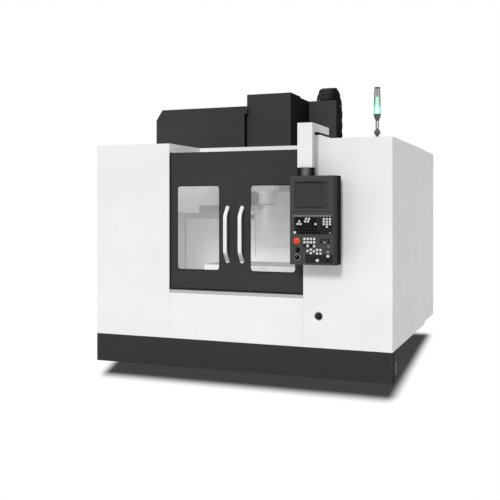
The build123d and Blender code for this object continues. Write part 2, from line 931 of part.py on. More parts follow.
def side_panel():
    """Right side panel with folded lower and rear edges; it overhangs the open base."""
    panel = block((half_width - sheet, half_width), (sheet, guard_depth), (skirt_height, panel_top))
    x = (half_width - panel_edge, half_width)
    panel += block(x, (sheet, guard_depth), (skirt_height, skirt_height + sheet))
    return panel


def rear_panel():
    """Right rear panel beside the column."""
    x = (column_half_width + column_seam, half_width - sheet)
    panel = block(x, (guard_depth - sheet, guard_depth), (skirt_height + panel_edge, panel_top))
    y = (guard_depth - sheet - 1, guard_depth + 1)
    return panel - block((0, bed_base_half + column_seam), y, (0, bed_top + column_seam))


def base_skirt():
    """Dark plinth: a front sheet with short side returns, its screws and two ring ports."""
    side = prism(
        [
            (-half_width, 0),
            (half_width, 0),
            (half_width, skirt_return),
            (half_width - sheet, skirt_return),
            (half_width - sheet, sheet),
            (-half_width + sheet, sheet),
            (-half_width + sheet, skirt_return),
            (-half_width, skirt_return),
        ],
        "Z",
        floor_gap,
        skirt_height,
    )
    x = (-half_width + sheet, half_width - sheet)
    side += block(x, (sheet, panel_edge), (skirt_height - sheet, skirt_height))
    for inset in skirt_screw_inset:
        for screw_x in (inset - half_width, half_width - inset):
            for z in skirt_screw_z:
                side -= rod("Y", (screw_x, z), screw_head_radius, -1, sheet * 0.5)
    for z in ring_port_z:
        side -= rod("Y", (ring_port_x, z), ring_port_radius, -1, sheet + 1)
    return side


def skirt_fittings():
    """Ring ports in the plinth and the latch box behind its right return."""
    parts = []
    for z in ring_port_z:
        ring = rod("Y", (ring_port_x, z), ring_port_radius, -2, 30)
        ring += rod("Y", (ring_port_x, z), ring_port_radius + 4, -4, 0)
        ring -= rod("Y", (ring_port_x, z), ring_port_radius * 0.5, -5, 20)
        parts.append(ring)
    box = block((half_width - 46, half_width), (skirt_return, 2 * skirt_return), (66, 179))
    parts.append(fillet(box.edges().filter_by(Axis.Z), 6))
    return Compound(parts)


def roof_panel():
    """Roof sheet round the open top, with the lintel and the two side folds."""
    outline = [
        (-half_width, 0),
        (-opening_half, 0),
        (-opening_half, lintel_y),
        (opening_half, lintel_y),
        (opening_half, 0),
        (half_width, 0),
        (half_width, guard_depth),
        (-half_width, guard_depth),
    ]
    roof = prism(outline, "Z", panel_top, enclosure_height)
    drop = enclosure_height - lintel_drop
    roof += block((-opening_half, opening_half), (lintel_y - sheet, lintel_y), (drop, enclosure_height))
    for side in (-1, 1):
        x = sorted((side * opening_half, side * (opening_half + sheet)))
        roof += block(x, (panel_lip + 1, lintel_y), (door_top + 6, panel_top))
    cut_z = (panel_top - 1, enclosure_height + 1)
    head_hole = block((cover_left - 12, cover_right + 13), (cover_front - 26, column_front), cut_z)
    carrier_hole = block(
        (0, carrier_right + 25),
        (cover_rear + carrier_cover_gap + sheet, carrier_front + carrier_band + 20),
        cut_z,
    )
    column_hole = block(
        (-column_half_width - column_seam, column_half_width + column_seam),
        (column_front - 3, guard_depth + 1),
        cut_z,
    )
    magazine_hole = block(
        (magazine_left + 12, magazine_right + 1),
        (magazine_front + 12, wall_y - 8),
        cut_z,
    )
    return roof - head_hole - carrier_hole - column_hole - magazine_hole


def chamber_liner():
    """Splash walls of the work chamber: two sides, the back and the pockets beside the doors."""
    low = liner_bottom
    walls = None
    for side in (-1, 1):
        x = sorted((side * wall_x, side * (wall_x + sheet)))
        wall = block(x, (liner_front, wall_y + sheet), (low, panel_top))
        x = sorted((side * (opening_half + panel_lip), side * wall_x))
        wall += block(x, (liner_front, liner_front + sheet), (low, panel_top))
        walls = wall if walls is None else walls + wall
    back = block((-wall_x, wall_x), (wall_y, wall_y + sheet), (low, panel_top))
    y = (wall_y - 1, column_front + 1)
    back -= block((-column_slot_half, column_slot_half), y, (wall_slot_low, panel_top + 1))
    back -= block((0, carrier_right + 25), y, (carrier_front_end - head_travel - 100, panel_top + 1))
    return walls + back


def chip_tray():
    """Floor of the chamber: two slopes towards the bed and a flat front part over the Y motor."""
    edge = wall_x + sheet
    tray = None
    for side in (-1, 1):
        outline = [
            (side * edge, liner_bottom),
            (side * edge, liner_bottom - sheet),
            (side * bed_base_half, tray_low - sheet),
            (side * bed_base_half, tray_low),
        ]
        slope = prism(outline, "Y", liner_front, wall_y + sheet)
        tray = slope if tray is None else tray + slope
        x = sorted((side * bed_base_half, side * (bed_base_half + sheet)))
        tray += block(x, (liner_front, bed_front), (tray_low - sheet, tray_bridge))
    x = (-bed_base_half, bed_base_half)
    tray += block(x, (liner_front, bed_front), (tray_bridge - sheet, tray_bridge))
    apron = block((-edge, edge), (liner_front, liner_front + sheet), (tray_low - sheet, liner_bottom))
    x = (-opening_half - panel_lip, opening_half + panel_lip)
    apron += block(x, (liner_front, liner_front + sheet), (liner_bottom, sill_bottom + sill_height))
    apron += block(x, (door_back + sill_margin, liner_front), (sill_bottom - sheet, sill_bottom))
    rear = block((-edge, edge), (wall_y, wall_y + sheet), (tray_low - sheet, liner_bottom))
    rear -= block((-bed_base_half, bed_base_half), (wall_y - 1, wall_y + sheet + 1), (0, bed_top + 1))
    return tray + apron + rear


def door_track():
    """Lower track: the sill seen under the doors and its run behind the side panels."""
    back = door_back + sill_margin
    z = (sill_bottom, sill_bottom + sill_height)
    track = block((-track_half, track_half), (panel_lip + 1, back), z)
    track += block((-opening_half + seam_gap, opening_half - seam_gap), (1, back), z)
    middle = (door_front + door_back) / 2
    groove = block(
        (-track_half - 1, track_half + 1),
        (middle - guide_width / 2 - 1, middle + guide_width / 2 + 1),
        (sill_bottom + sill_height - guide_depth, sill_bottom + sill_height + 1),
    )
    return track - groove


def door_header():
    """Upper track: a channel open towards the doors, hidden behind their top edges."""
    back = liner_front - 2
    front = door_back + header_gap
    outline = [
        (front, header_low),
        (back, header_low),
        (back, header_high),
        (front, header_high),
        (front, header_high - header_wall),
        (back - header_wall, header_high - header_wall),
        (back - header_wall, header_low + header_wall),
        (front, header_low + header_wall),
    ]
    channel = prism(outline, "X", -wall_x + 1, wall_x - 1)
    for side in (-1, 1):
        x = sorted((side * (opening_half + 40), side * (wall_x - 40)))
        channel += block(x, (back, liner_front), (header_low, header_high))
    return channel


def door():
    """Right door leaf: a folded pan with the window opening, hangers above and a guide fin below."""
    x = (door_gap / 2, opening_half - door_gap)
    leaf = block(x, (door_front, door_back), (door_bottom, door_top))
    leaf -= block(
        (x[0] + sheet, x[1] - sheet),
        (door_front + sheet, door_back + 1),
        (door_bottom + sheet, door_top - sheet),
    )
    window = (window_from_centre, window_from_centre + window_width)
    height = (window_bottom, window_bottom + window_height)
    leaf -= rounded_plate(window, (door_front - 1, door_front + sheet + 1), height, window_corner)
    middle = (door_front + door_back) / 2
    for hanger_x in (x[0] + hanger_inset, x[1] - hanger_inset):
        header_z = (header_low + header_high) / 2
        roller = (header_high - header_low) / 2 - header_wall - slide_gap
        leaf += rod("Y", (hanger_x, header_z), roller, door_back, liner_front - 2 - header_wall - 3)
        plate = (hanger_x - 40, hanger_x + 40)
        leaf += block(plate, (door_front + sheet, door_back), (header_low, header_high))
    fin = (middle - guide_width / 2, middle + guide_width / 2)
    return leaf + block(x, fin, (door_bottom - guide_drop, door_bottom))


def door_window():
    """Laminated pane clipped behind the door sheet, with its raised middle in the opening."""
    lap = window_lap
    x = (window_from_centre, window_from_centre + window_width)
    z = (window_bottom, window_bottom + window_height)
    pane = rounded_plate(
        (x[0] - lap, x[1] + lap),
        (door_front + sheet, door_front + sheet + glass_thickness),
        (z[0] - lap, z[1] + lap),
        window_corner,
    )
    gap = slide_gap
    pane += rounded_plate(
        (x[0] + gap, x[1] - gap),
        (door_front + 1, door_front + sheet),
        (z[0] + gap, z[1] - gap),
        window_corner - gap,
    )
    return pane


def door_handle():
    """Bow handle: an oval bar swept along a flat arch."""
    reach = handle_standoff - handle_depth / 2
    points = [
        (handle_x, door_front, handle_low + handle_width / 2),
        (handle_x, -reach + door_front, handle_low + handle_leg),
        (handle_x, -reach + door_front, handle_high - handle_leg),
        (handle_x, door_front, handle_high - handle_width / 2),
    ]
    path = FilletPolyline(*points, radius=handle_bend)
    section = Plane(path @ 0, x_dir=(1, 0, 0), z_dir=path % 0) * Ellipse(handle_width / 2, handle_depth / 2)
    bar = sweep(section, path=path)
    longer = block(
        (handle_x - handle_width, handle_x + handle_width),
        (door_front, door_front + 40),
        (handle_low - 60, handle_high + 60),
    )
    bar -= longer
    for z in (handle_low + handle_width / 2, handle_high - handle_width / 2):
        bar += rod("Y", (handle_x, z), handle_width / 2, door_front - handle_foot, door_front)
    return bar


def air_coupling():
    """Recessed cup in the right panel with the angled quick coupling inside."""
    depth = port_depth
    cup = rod("Y", (port_x, port_z), port_radius, 0, depth)
    cup += rod("Y", (port_x, port_z), port_radius + 4, -1.5, 0)
    cup -= rod("Y", (port_x, port_z), port_radius - 3, -2, depth - 3)
    stub = rod("Y", (port_x + 4, port_z), port_bore_radius + 5, 8, depth - 3)
    stub += Pos(port_x - 9, 10, port_z + 9) * Rot(90, 0, 0) * Cylinder(15, 22)
    return cup + stub - rod("Y", (port_x + 4, port_z), port_bore_radius, -2, depth - 8)


def magazine_cover():
    """Cover over the tool disc: folded top with one bevelled corner, open below and behind."""
    base = enclosure_height
    outer = [
        (magazine_left, base),
        (magazine_right, base),
        (magazine_right, magazine_top),
        (magazine_left + magazine_bevel_x, magazine_top),
        (magazine_left, magazine_top - magazine_bevel_z),
    ]
    lean = sheet * 0.5
    inner = [
        (magazine_left + sheet, base - 1),
        (magazine_right - sheet, base - 1),
        (magazine_right - sheet, magazine_top - sheet),
        (magazine_left + magazine_bevel_x + lean, magazine_top - sheet),
        (magazine_left + sheet, magazine_top - magazine_bevel_z - lean),
    ]
    rear = wall_y
    cover = prism(outer, "Y", magazine_front, rear)
    cover -= prism(inner, "Y", magazine_front + sheet, rear - sheet)
    opening = block(
        (bracket_left - 20, magazine_right + 1), (rear - sheet - 1, rear + 1), (base - 1, bracket_top + 20)
    )
    return cover - opening


def magazine_bracket():
    """Bracket on the column with the disc's shaft and the gearbox of the change arm."""
    y0 = change_y + pot_length + disc_thickness + bracket_gap
    y1 = y0 + bracket_plate
    outline = [
        (disc_x - hub_radius * 1.6, disc_z - hub_radius * 1.6),
        (change_x - 60, change_box_low),
        (bracket_right, change_box_low),
        (bracket_right, bracket_top),
        (disc_x - hub_radius * 0.8, disc_z + hub_radius * 1.9),
        (disc_x - hub_radius * 1.6, disc_z + hub_radius * 1.1),
    ]
    bracket = prism(outline, "Y", y0, y1)
    bracket += block((bracket_left, bracket_right), (y1, column_front), (enclosure_height + 12, bracket_top))
    bracket += rod("Y", (disc_x, disc_z), hub_radius, y0 - bracket_gap + 0.5, y0)
    bracket += rod("Y", (disc_x, disc_z), disc_shaft_radius, change_y + pot_length - 12, y0)
    half = change_box / 2
    x = (change_x - half, change_x + half)
    box = block(x, (change_arm_y - half, y0), (change_box_low, change_box_high))
    box = fillet(box.edges().filter_by(Axis.Z).group_by(Axis.Y)[0], 24)
    bracket += box
    bore = arm_shaft_radius + spindle_gap
    return bracket - rod("Z", (change_x, change_arm_y), bore, change_box_low - 1, change_box_high + 1)


def magazine_disc():
    """Tool disc with its ring of tool pots."""
    y0 = change_y + pot_length
    y1 = y0 + disc_thickness
    disc = rod("Y", (disc_x, disc_z), disc_radius, y0, y1)
    disc += rod("Y", (disc_x, disc_z), hub_radius, y0 - 10, y0)
    for index in range(6):
        angle = radians(index * 60)
        x = disc_x + disc_radius * 0.5 * cos(angle)
        z = disc_z + disc_radius * 0.5 * sin(angle)
        disc -= rod("Y", (x, z), disc_radius * 0.16, y0 - 1, y1 + 1)
    bore = pot_radius * 0.62
    pot_outline = [
        (pot_radius * 0.6, 0),
        (pot_radius * 0.34, pot_length - 14),
        (0, pot_length - 14),
        (0, pot_length),
        (pot_radius * 0.8, pot_length),
        (pot_radius * 0.8, 34),
        (pot_radius, 26),
        (pot_radius, 8),
        (bore + 6, 0),
    ]
    pot = revolve(Plane.XZ * make_face(Polyline(*pot_outline, close=True)), Axis.Z)
    for index in range(pot_count):
        angle = 2 * pi * (index + 0.5) / pot_count
        x = disc_x + pot_circle * cos(angle)
        z = disc_z + pot_circle * sin(angle)
        disc += Pos(x, change_y, z) * Rot(-90, 0, 0) * pot
    return disc - rod("Y", (disc_x, disc_z), disc_shaft_radius + spindle_gap, y0 - 20, y1 + 1)


def change_shaft():
    """Vertical shaft that lowers the change arm, with the collar above the arm's hub."""
    top = change_box_high + arm_drop + 20
    shaft = rod("Z", (change_x, change_arm_y), arm_shaft_radius, arm_bottom, top)
    collar = arm_bottom + arm_thickness + slide_gap
    return shaft + rod("Z", (change_x, change_arm_y), arm_shaft_radius + 14, collar, collar + 18)


def change_arm():
    """Double-ended arm with a hooked jaw at each end that closes round a tool flange."""
    reach = hypot(change_x, change_arm_y - spindle_y)
    hub = Cylinder(arm_width * 0.62, arm_thickness)
    arm = hub + Box(arm_width * 0.8, 2 * reach - 40, arm_thickness)
    for end in (-1, 1):
        jaw = Cylinder(jaw_radius + jaw_wall, arm_thickness) - Cylinder(jaw_radius, arm_thickness + 2)
        mouth = Pos(-end * (jaw_radius + jaw_wall), 0, 0) * Box(
            2 * (jaw_radius + jaw_wall), jaw_radius * 1.7, arm_thickness + 2
        )
        arm -= Pos(0, end * reach, 0) * Cylinder(jaw_radius + 0.5, arm_thickness + 2)
        arm += Pos(0, end * reach, 0) * (jaw - mouth)
    arm -= Cylinder(arm_shaft_radius + spindle_gap, arm_thickness + 2)
    return Pos(change_x, change_arm_y, arm_bottom + arm_thickness / 2) * arm


def magazine_guard():
    """Light box in the chamber that closes the magazine off; its floor has one step."""
    left = -wall_x
    front = prism(
        [
            (left, guard_low),
            (guard_step_x, guard_low),
            (guard_step_x, guard_high),
            (guard_right, guard_high),
            (guard_right, guard_top),
            (-opening_half - sheet, guard_top),
            (-opening_half - sheet, panel_top),
            (left, panel_top),
        ],
        "Y",
        guard_front,
        guard_front + sheet,
    )
    flange = block(
        (-opening_half, guard_right), (guard_front, lintel_y - sheet), (guard_top - sheet, guard_top)
    )
    rear = wall_y
    floor_low = block((left, guard_step_x), (guard_front, rear), (guard_low, guard_low + sheet))
    floor_high = block((guard_step_x, guard_right), (guard_front, rear), (guard_high, guard_high + sheet))
    riser = block((guard_step_x - sheet, guard_step_x), (guard_front, rear), (guard_low, guard_high + sheet))
    cut = (guard_high - 1, guard_high + sheet + 1)
    floor_high -= rod("Z", (change_x, change_arm_y), arm_shaft_radius + 26, cut[0], cut[1])
    floor_high -= block((disc_x - 60, disc_x + 60), (change_y - 60, change_y + 60), cut)
    return front + flange + floor_low + floor_high + riser


def carrier_cover():
    """Shallow cover on the roof in front of the cable carrier."""
    x = (cover_right - carrier_cover_lap, carrier_cover_right)
    front = cover_rear + carrier_cover_gap
    cover = block(x, (front, column_front + 14), (enclosure_height, carrier_cover_top))
    return cover - block(
        (x[0] - 1, x[1] - sheet),
        (front + sheet, column_front + 20),
        (enclosure_height - 1, carrier_cover_top - sheet),
    )


def z_way_cover():
    """Overlapping leaves that hide the Z screw, from its lower bearing up to the head's underside."""
    low = z_screw_low - screw_bearing / 2
    step = (head_underside - low) / way_leaf_count
    x = (-way_cover_half, way_cover_half)
    back = cover_rear + 4
    leaves = block(x, (back - sheet, back), (low, low + step))
    for index in range(1, way_leaf_count):
        y = back - index * sheet
        z = low + index * step
        leaves += block(x, (y - sheet, y), (z - way_leaf_lap, z + step))
    return leaves


def electrical_cabinet():
    """Cabinet behind the right side of the guard: a shell open to the rear on two legs."""
    x = (cabinet_left, half_width)
    y = (guard_depth, cabinet_rear - cabinet_door_thickness - slide_gap)
    z = (cabinet_bottom, cabinet_top)
    body = block(x, y, z)
    body -= block((x[0] + cabinet_sheet, x[1] - cabinet_sheet), (y[0] + cabinet_sheet, y[1] + 1),
                  (z[0] + cabinet_sheet, z[1] - cabinet_sheet))
    for leg_y in (y[0] + 60, y[1] - 60):
        body += block((x[0] + 20, x[0] + 80), (leg_y - 30, leg_y + 30), (0, z[0]))
    return body


def cabinet_equipment():
    """Mounting plate on the cabinet's front wall with three rows of drives and switchgear."""
    x = (cabinet_left, half_width)
    wall = guard_depth + cabinet_sheet
    plate_back = wall + 12 * cabinet_unit
    z = (cabinet_bottom, cabinet_top)
    rim = 60 * cabinet_unit
    plate = block((x[0] + rim, x[1] - rim), (wall, plate_back), (z[0] + 2 * rim, z[1] - 2 * rim))
    for row in range(3):
        height = z[0] + (330 + row * 480) * cabinet_unit
        for left, right, depth in ((110, 290, 150), (300, 420, 120), (430, 523, 90)):
            across = (x[0] + left * cabinet_unit, x[0] + right * cabinet_unit)
            deep = (plate_back, wall + depth * cabinet_unit)
            plate += block(across, deep, (height, height + 300 * cabinet_unit))
    return plate


def cabinet_door():
    """Rear door of the cabinet: a pan with louvres, hinged at its outer edge."""
    x = (cabinet_left + 1, half_width - 1)
    y = (cabinet_rear - cabinet_door_thickness, cabinet_rear)
    z = (cabinet_bottom + 1, cabinet_top - 1)
    door_pan = block(x, y, z) - block(
        (x[0] + sheet, x[1] - sheet), (y[0] - 1, y[1] - sheet), (z[0] + sheet, z[1] - sheet)
    )
    middle = (x[0] + x[1]) / 2
    for index in range(louvre_count):
        low = z[0] + 160 + index * louvre_pitch
        slit = (low, low + louvre_pitch * 0.35)
        door_pan -= block((middle - 150, middle + 150), (y[1] - sheet - 1, y[1] + 1), slit)
    return door_pan - rod("Y", (isolator_x, isolator_z), isolator_radius + spindle_gap, y[0], y[1] + 1)


def isolator_handle():
    """Main switch: a round base with a bar grip, on a shaft through the cabinet door."""
    y = cabinet_rear
    knob = rod("Y", (isolator_x, isolator_z), isolator_radius, y - 16, y + 0.3)
    knob += rod("Y", (isolator_x, isolator_z), 34, y + 0.3, y + 14)
    x = (isolator_x - 9, isolator_x + 9)
    return knob + block(x, (y + 14, y + 38), (isolator_z - 33, isolator_z + 33))


def coolant_tank():
    """Coolant tank behind the guard with a lid, two pumps and four wheels' feet."""
    x = (-half_width + tank_inset, -half_width + tank_inset + tank_length)
    y = (guard_depth + tank_back_gap, guard_depth + tank_back_gap + tank_depth)
    wall = tank_wall
    tank = block(x, y, (tank_low, tank_low + tank_height))
    inner_z = (tank_low + wall, tank_low + tank_height - wall)
    tank -= block((x[0] + wall, x[1] - wall), (y[0] + wall, y[1] - wall), inner_z)
    for foot_x in (x[0] + tank_foot_inset, x[1] - tank_foot_inset):
        for foot_y in (y[0] + tank_foot_inset, y[1] - tank_foot_inset):
            tank += rod("Z", (foot_x, foot_y), tank_foot_radius, 0, tank_low)
    for inset in pump_inset:
        place = (x[0] + inset, y[1] - pump_back_inset)
        top = tank_low + tank_height
        tank += rod("Z", place, pump_flange_radius, top, top + pump_flange_height)
        top += pump_flange_height
        tank += rod("Z", place, pump_radius, top, top + pump_length)
        top += pump_length
        tank += rod("Z", place, pump_cap_radius, top, top + pump_cap_height)
    return tank


def pendant_arm():
    """Beam on the roof, its drop at the front and the swivel pin under the drop."""
    half = beam_width / 2
    outline = [
        (beam_rear, beam_bottom),
        (beam_rear, beam_bottom + beam_height),
        (beam_front, beam_bottom + beam_height),
        (beam_front, drop_bottom),
        (beam_front + beam_height, drop_bottom),
        (beam_front + beam_height, beam_bottom),
    ]
    arm = prism(outline, "X", arm_x - half, arm_x + half)
    foot = block(
        (arm_x - half - foot_margin, arm_x + half + foot_margin),
        (foot_front, beam_rear + foot_margin),
        (enclosure_height, enclosure_height + foot_plate),
    )
    neck = block(
        (arm_x - half + 2 * foot_margin, arm_x + half - 2 * foot_margin),
        (foot_front + 20, beam_rear - 12),
        (enclosure_height + foot_plate, beam_bottom),
    )
    pin_low = pendant_top + 18
    return arm + foot + neck + rod("Z", (arm_x, swivel_y), swivel_pin_radius, pin_low, drop_bottom)


def pendant_housing():
    """Operator panel: a deep case with bevelled sides, a display recess and the swivel drum on top."""
    x = (pendant_left, pendant_left + pendant_width)
    y = (pendant_front, pendant_front + pendant_depth)
    edge = pendant_edge
    outline = [
        (x[0], y[0]),
        (x[1] - edge, y[0]),
        (x[1], y[0] + edge),
        (x[1], y[1]),
        (x[0], y[1]),
    ]
    z = (pendant_top - pendant_height, pendant_top)
    wall = pendant_wall
    inside = [
        (x[0] + wall, y[0] + pendant_front_wall),
        (x[1] - edge, y[0] + pendant_front_wall),
        (x[1] - wall, y[0] + edge + wall),
        (x[1] - wall, y[1] - wall),
        (x[0] + wall, y[1] - wall),
    ]
    case = prism(outline, "Z", z[0], z[1]) - prism(inside, "Z", z[0] + wall, z[1] - wall)
    for u, v in control_places.values():
        place = (x[0] + u, z[1] - v)
        case += rod("Y", place, control_boss_radius, y[0] + wall, y[0] + control_depth + wall)
    case -= block((x[0] + screen_left, x[0] + screen_left + screen_width), (y[0] - 1, y[0] + screen_recess),
                  (z[1] - screen_top - screen_height, z[1] - screen_top))
    case -= block((x[0] + groove_left, x[0] + groove_right), (y[0] - 1, y[0] + 4),
                  (z[1] - groove_drop - 3, z[1] - groove_drop + 3))
    drum_top = drop_bottom - swivel_gap
    case += rod("Z", (arm_x, swivel_y), swivel_radius, z[1], drum_top)
    case -= rod("Z", (arm_x, swivel_y), swivel_pin_radius + spindle_gap, z[1] + 14, drum_top + 1)
    for name in ("stop", "selector", "dial"):
        u, v = control_places[name]
        case -= rod("Y", (x[0] + u, z[1] - v), control_stem + spindle_gap, y[0] - 1, y[0] + control_depth)
    u, v = control_places["stop"]
    ring = rod("Y", (x[0] + u, z[1] - v), stop_ring_radius, y[0] - 4, y[0])
    stem_hole = rod("Y", (x[0] + u, z[1] - v), control_stem + spindle_gap, y[0] - 5, y[0] + control_depth)
    return case + ring - stem_hole


def pendant_screen():
    """Display pane in its recess."""
    gap = slide_gap
    x = (pendant_left + screen_left + gap, pendant_left + screen_left + screen_width - gap)
    z = (pendant_top - screen_top - screen_height + gap, pendant_top - screen_top - gap)
    return block(x, (pendant_front + 2, pendant_front + screen_recess), z)


def pendant_keys():
    """All the keys of the operator panel: low caps standing on the case, one solid each."""
    keys = []
    for u, v, width, height in key_layout():
        x = pendant_left + u * key_unit
        z = pendant_top - v * key_unit
        half_x = width * key_unit / 2
        half_z = height * key_unit / 2
        y = (pendant_front - key_rise, pendant_front)
        keys.append(block((x - half_x, x + half_x), y, (z - half_z, z + half_z)))
    return Compound(keys)


def key_layout():
    """Key centres and sizes, measured right and down from the case's top left corner."""
    keys = [(46 + 27 * index, 354, 15, 11) for index in range(13)]
    for row, v in enumerate((383, 406, 429, 453, 480, 505)):
        shift = (12, 0, -13, 0, 0, 6)[row]
        first = 72 if row < 5 else 100
        keys += [(first + shift + 27.5 * index, v, 19, 17) for index in range(7)]
    keys += [(314 + 28 * column, 383 + 23 * row, 19, 17) for row in range(4) for column in range(3)]
    keys += [(132 + 30 * column, v, 21, 21) for v in (560, 590, 623) for column in range(4)]
    jog = ((162, 667), (192, 655), (192, 686), (221, 669), (250, 657), (250, 688), (281, 657), (281, 688))
    keys += [(u, v, 19, 19) for u, v in jog]
    keys += [(289 + 33.5 * column, 566 + 23 * row, 17, 15) for row in range(2) for column in range(3)]
    keys += [(354, 627, 19, 19), (351, 673, 19, 19), (352, 710, 25, 21), (352, 748, 19, 15)]
    return keys + [(46, 505, 21, 21), (252, 750, 29, 25)]


def stop_button():
    """Mushroom button on its stem, standing off the collar by its travel."""
    u, v = control_places["stop"]
    place = (pendant_left + u, pendant_top - v)
    face = pendant_front - 4
    low = face - stop_travel - 1
    head = rod("Y", place, stop_radius, low - 16, low)
    head = fillet(head.edges().filter_by(GeomType.CIRCLE).group_by(Axis.Y)[0], 7)
    return head + rod("Y", place, control_stem, low, pendant_front + control_depth - stop_travel - 2)


def turn_knob(name, radius, height, flat):
    """A knob with a pointer ridge on a stem that turns in the case."""
    u, v = control_places[name]
    place = (pendant_left + u, pendant_top - v)
    face = pendant_front - slide_gap
    knob = rod("Y", place, radius, face - height, face)
    knob = chamfer(knob.edges().filter_by(GeomType.CIRCLE).group_by(Axis.Y)[0], height * 0.2)
    grip = block((place[0] - flat, place[0] + flat), (face - height - 6, face - height),
                 (place[1] - radius * 0.8, place[1] + radius * 0.8))
    return knob + grip + rod("Y", place, control_stem, face, pendant_front + control_depth - 2)


def lamp_base():
    """Round foot of the signal lamp with the fork of its folding joint."""
    core_top = lamp_joint_z - enclosure_height - lamp_eye_radius - slide_gap
    outline = [
        (0, 0),
        (lamp_foot_radius, 0),
        (lamp_foot_radius, 6),
        (lamp_fork_radius, 14),
        (lamp_fork_radius, core_top),
        (0, core_top),
    ]
    foot = Pos(lamp_x, lamp_y, enclosure_height) * revolve(
        Plane.XZ * make_face(Polyline(*outline, close=True)), Axis.Z
    )
    for side in (-1, 1):
        x = sorted((lamp_x + side * (lamp_eye_half + slide_gap), lamp_x + side * lamp_ball_radius))
        foot += rod("X", (lamp_y, lamp_joint_z), lamp_cheek_radius, x[0], x[1])
        y = (lamp_y - lamp_cheek_radius, lamp_y + lamp_cheek_radius)
        foot += block(x, y, (enclosure_height + core_top - 1, lamp_joint_z))
    return foot - rod("X", (lamp_y, lamp_joint_z), lamp_pin_radius + spindle_gap, lamp_x - 40, lamp_x + 40)


def lamp_pole():
    """Folding eye with its pin, the pole and the cup that carries the lens."""
    outline = [
        (0, lamp_joint_z + 12),
        (lamp_pole_radius, lamp_joint_z + 12),
        (lamp_pole_radius, lamp_pole_top),
        (lamp_low_radius - 4, lamp_cup_top - 24),
        (lamp_low_radius - 2, lamp_cup_top),
        (0, lamp_cup_top),
    ]
    pole = Pos(lamp_x, lamp_y, 0) * revolve(Plane.XZ * make_face(Polyline(*outline, close=True)), Axis.Z)
    pole += rod("X", (lamp_y, lamp_joint_z), lamp_eye_radius, lamp_x - lamp_eye_half, lamp_x + lamp_eye_half)
    return pole + rod("X", (lamp_y, lamp_joint_z), lamp_pin_radius, lamp_x - 27, lamp_x + 27)


def lamp_lens():
    """Tapered lens of the signal lamp with a domed top."""
    outline = [
        (0, lamp_cup_top),
        (lamp_low_radius, lamp_cup_top),
        (lamp_high_radius, lamp_top - 8),
        (lamp_high_radius - 8, lamp_top),
        (0, lamp_top),
    ]
    return Pos(lamp_x, lamp_y, 0) * revolve(Plane.XZ * make_face(Polyline(*outline, close=True)), Axis.Z)


def placed_screw(axis, low, high):
    """A ball screw laid along an axis through its bearings."""
    screw = ball_screw(low, high)
    if axis == "X":
        return Pos(0, spindle_y, x_screw_z) * Rot(0, 90, 0) * screw
    if axis == "Y":
        return Pos(0, 0, y_screw_z) * Rot(-90, 0, 0) * screw
    return Pos(0, z_screw_y, 0) * screw


def build_all():
    keep("bed_casting", bed_casting())
    keep("levelling_feet", levelling_feet())
    keep("column_casting", column_casting())
    keep("guide_rails", guide_rails())
    keep("axis_motors", axis_motors())
    keep("base_skirt", base_skirt())
    keep("skirt_fittings", skirt_fittings())
    keep("front_left_panel", mirrored(front_side_panel()))
    keep("front_right_panel", front_right_panel())
    keep("front_lower_panel", front_lower_panel())
    keep("side_panels", Compound([mirrored(side_panel()), side_panel()]))
    keep("rear_panels", Compound([mirrored(rear_panel()), rear_panel()]))
    keep("door_track", door_track())
    keep("door_header", door_header())
    keep("roof_panel", roof_panel())
    keep("chamber_liner", chamber_liner())
    keep("chip_tray", chip_tray())
    keep("magazine_cover", magazine_cover())
    keep("magazine_bracket", magazine_bracket())
    keep("magazine_guard", magazine_guard())
    keep("carrier_cover", carrier_cover())
    keep("cable_carrier", cable_carrier())
    keep("z_way_cover", z_way_cover())
    keep("electrical_cabinet", electrical_cabinet())
    keep("cabinet_equipment", cabinet_equipment())
    keep("coolant_tank", coolant_tank())
    keep("pendant_arm", pendant_arm())
    keep("lamp_base", lamp_base())
    keep("air_coupling", air_coupling())
    keep("right_door", door())
    keep("left_door", mirrored(door()))
    keep("right_window", door_window())
    keep("left_window", mirrored(door_window()))
    keep("right_handle", door_handle())
    keep("left_handle", mirrored(door_handle()))
    keep("saddle", saddle())
    keep("cross_motor", cross_motor())
    keep("table", table())
    keep("spindle_head", spindle_head())
    keep("spindle_cartridge", spindle_cartridge())
    keep("head_cover", head_cover())
    keep("spindle_motor", spindle_motor())
    keep("carrier_arm", carrier_arm())
    keep("spindle", spindle())
    screw_reach = saddle_length / 2 - 1
    keep("x_screw", placed_screw("X", -screw_reach + rail_end, screw_reach))
    keep("y_screw", placed_screw("Y", bed_front + 1, column_front - rail_end))
    keep("z_screw", placed_screw("Z", z_screw_low - screw_bearing / 2, column_top - 1))
    keep("magazine_disc", magazine_disc())
    keep("change_shaft", change_shaft())
    keep("change_arm", change_arm())
    keep("pendant_housing", pendant_housing())
    keep("pendant_screen", pendant_screen())
    keep("pendant_keys", pendant_keys())
    keep("stop_button", stop_button())
    keep("mode_selector", turn_knob("selector", selector_radius, 16.0, 3.0))
    keep("feed_dial", turn_knob("dial", dial_radius, 14.0, 2.5))
    keep("lamp_pole", lamp_pole())
    keep("lamp_lens", lamp_lens())
    keep("cabinet_door", cabinet_door())
    keep("isolator_handle", isolator_handle())


build_all()
boxes = [solid.bounding_box() for solid in pieces.values()]
middle_x = (min(b.min.X for b in boxes) + max(b.max.X for b in boxes)) / 2
middle_y = (min(b.min.Y for b in boxes) + max(b.max.Y for b in boxes)) / 2
to_footprint = Pos(-middle_x, -middle_y, 0)
os.makedirs("parts", exist_ok=True)
for node, solid in pieces.items():
    export_step(to_footprint * solid, "parts/" + node + ".step")
print("footprint shift", round(-middle_x, 3), round(-middle_y, 3))
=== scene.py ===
import math

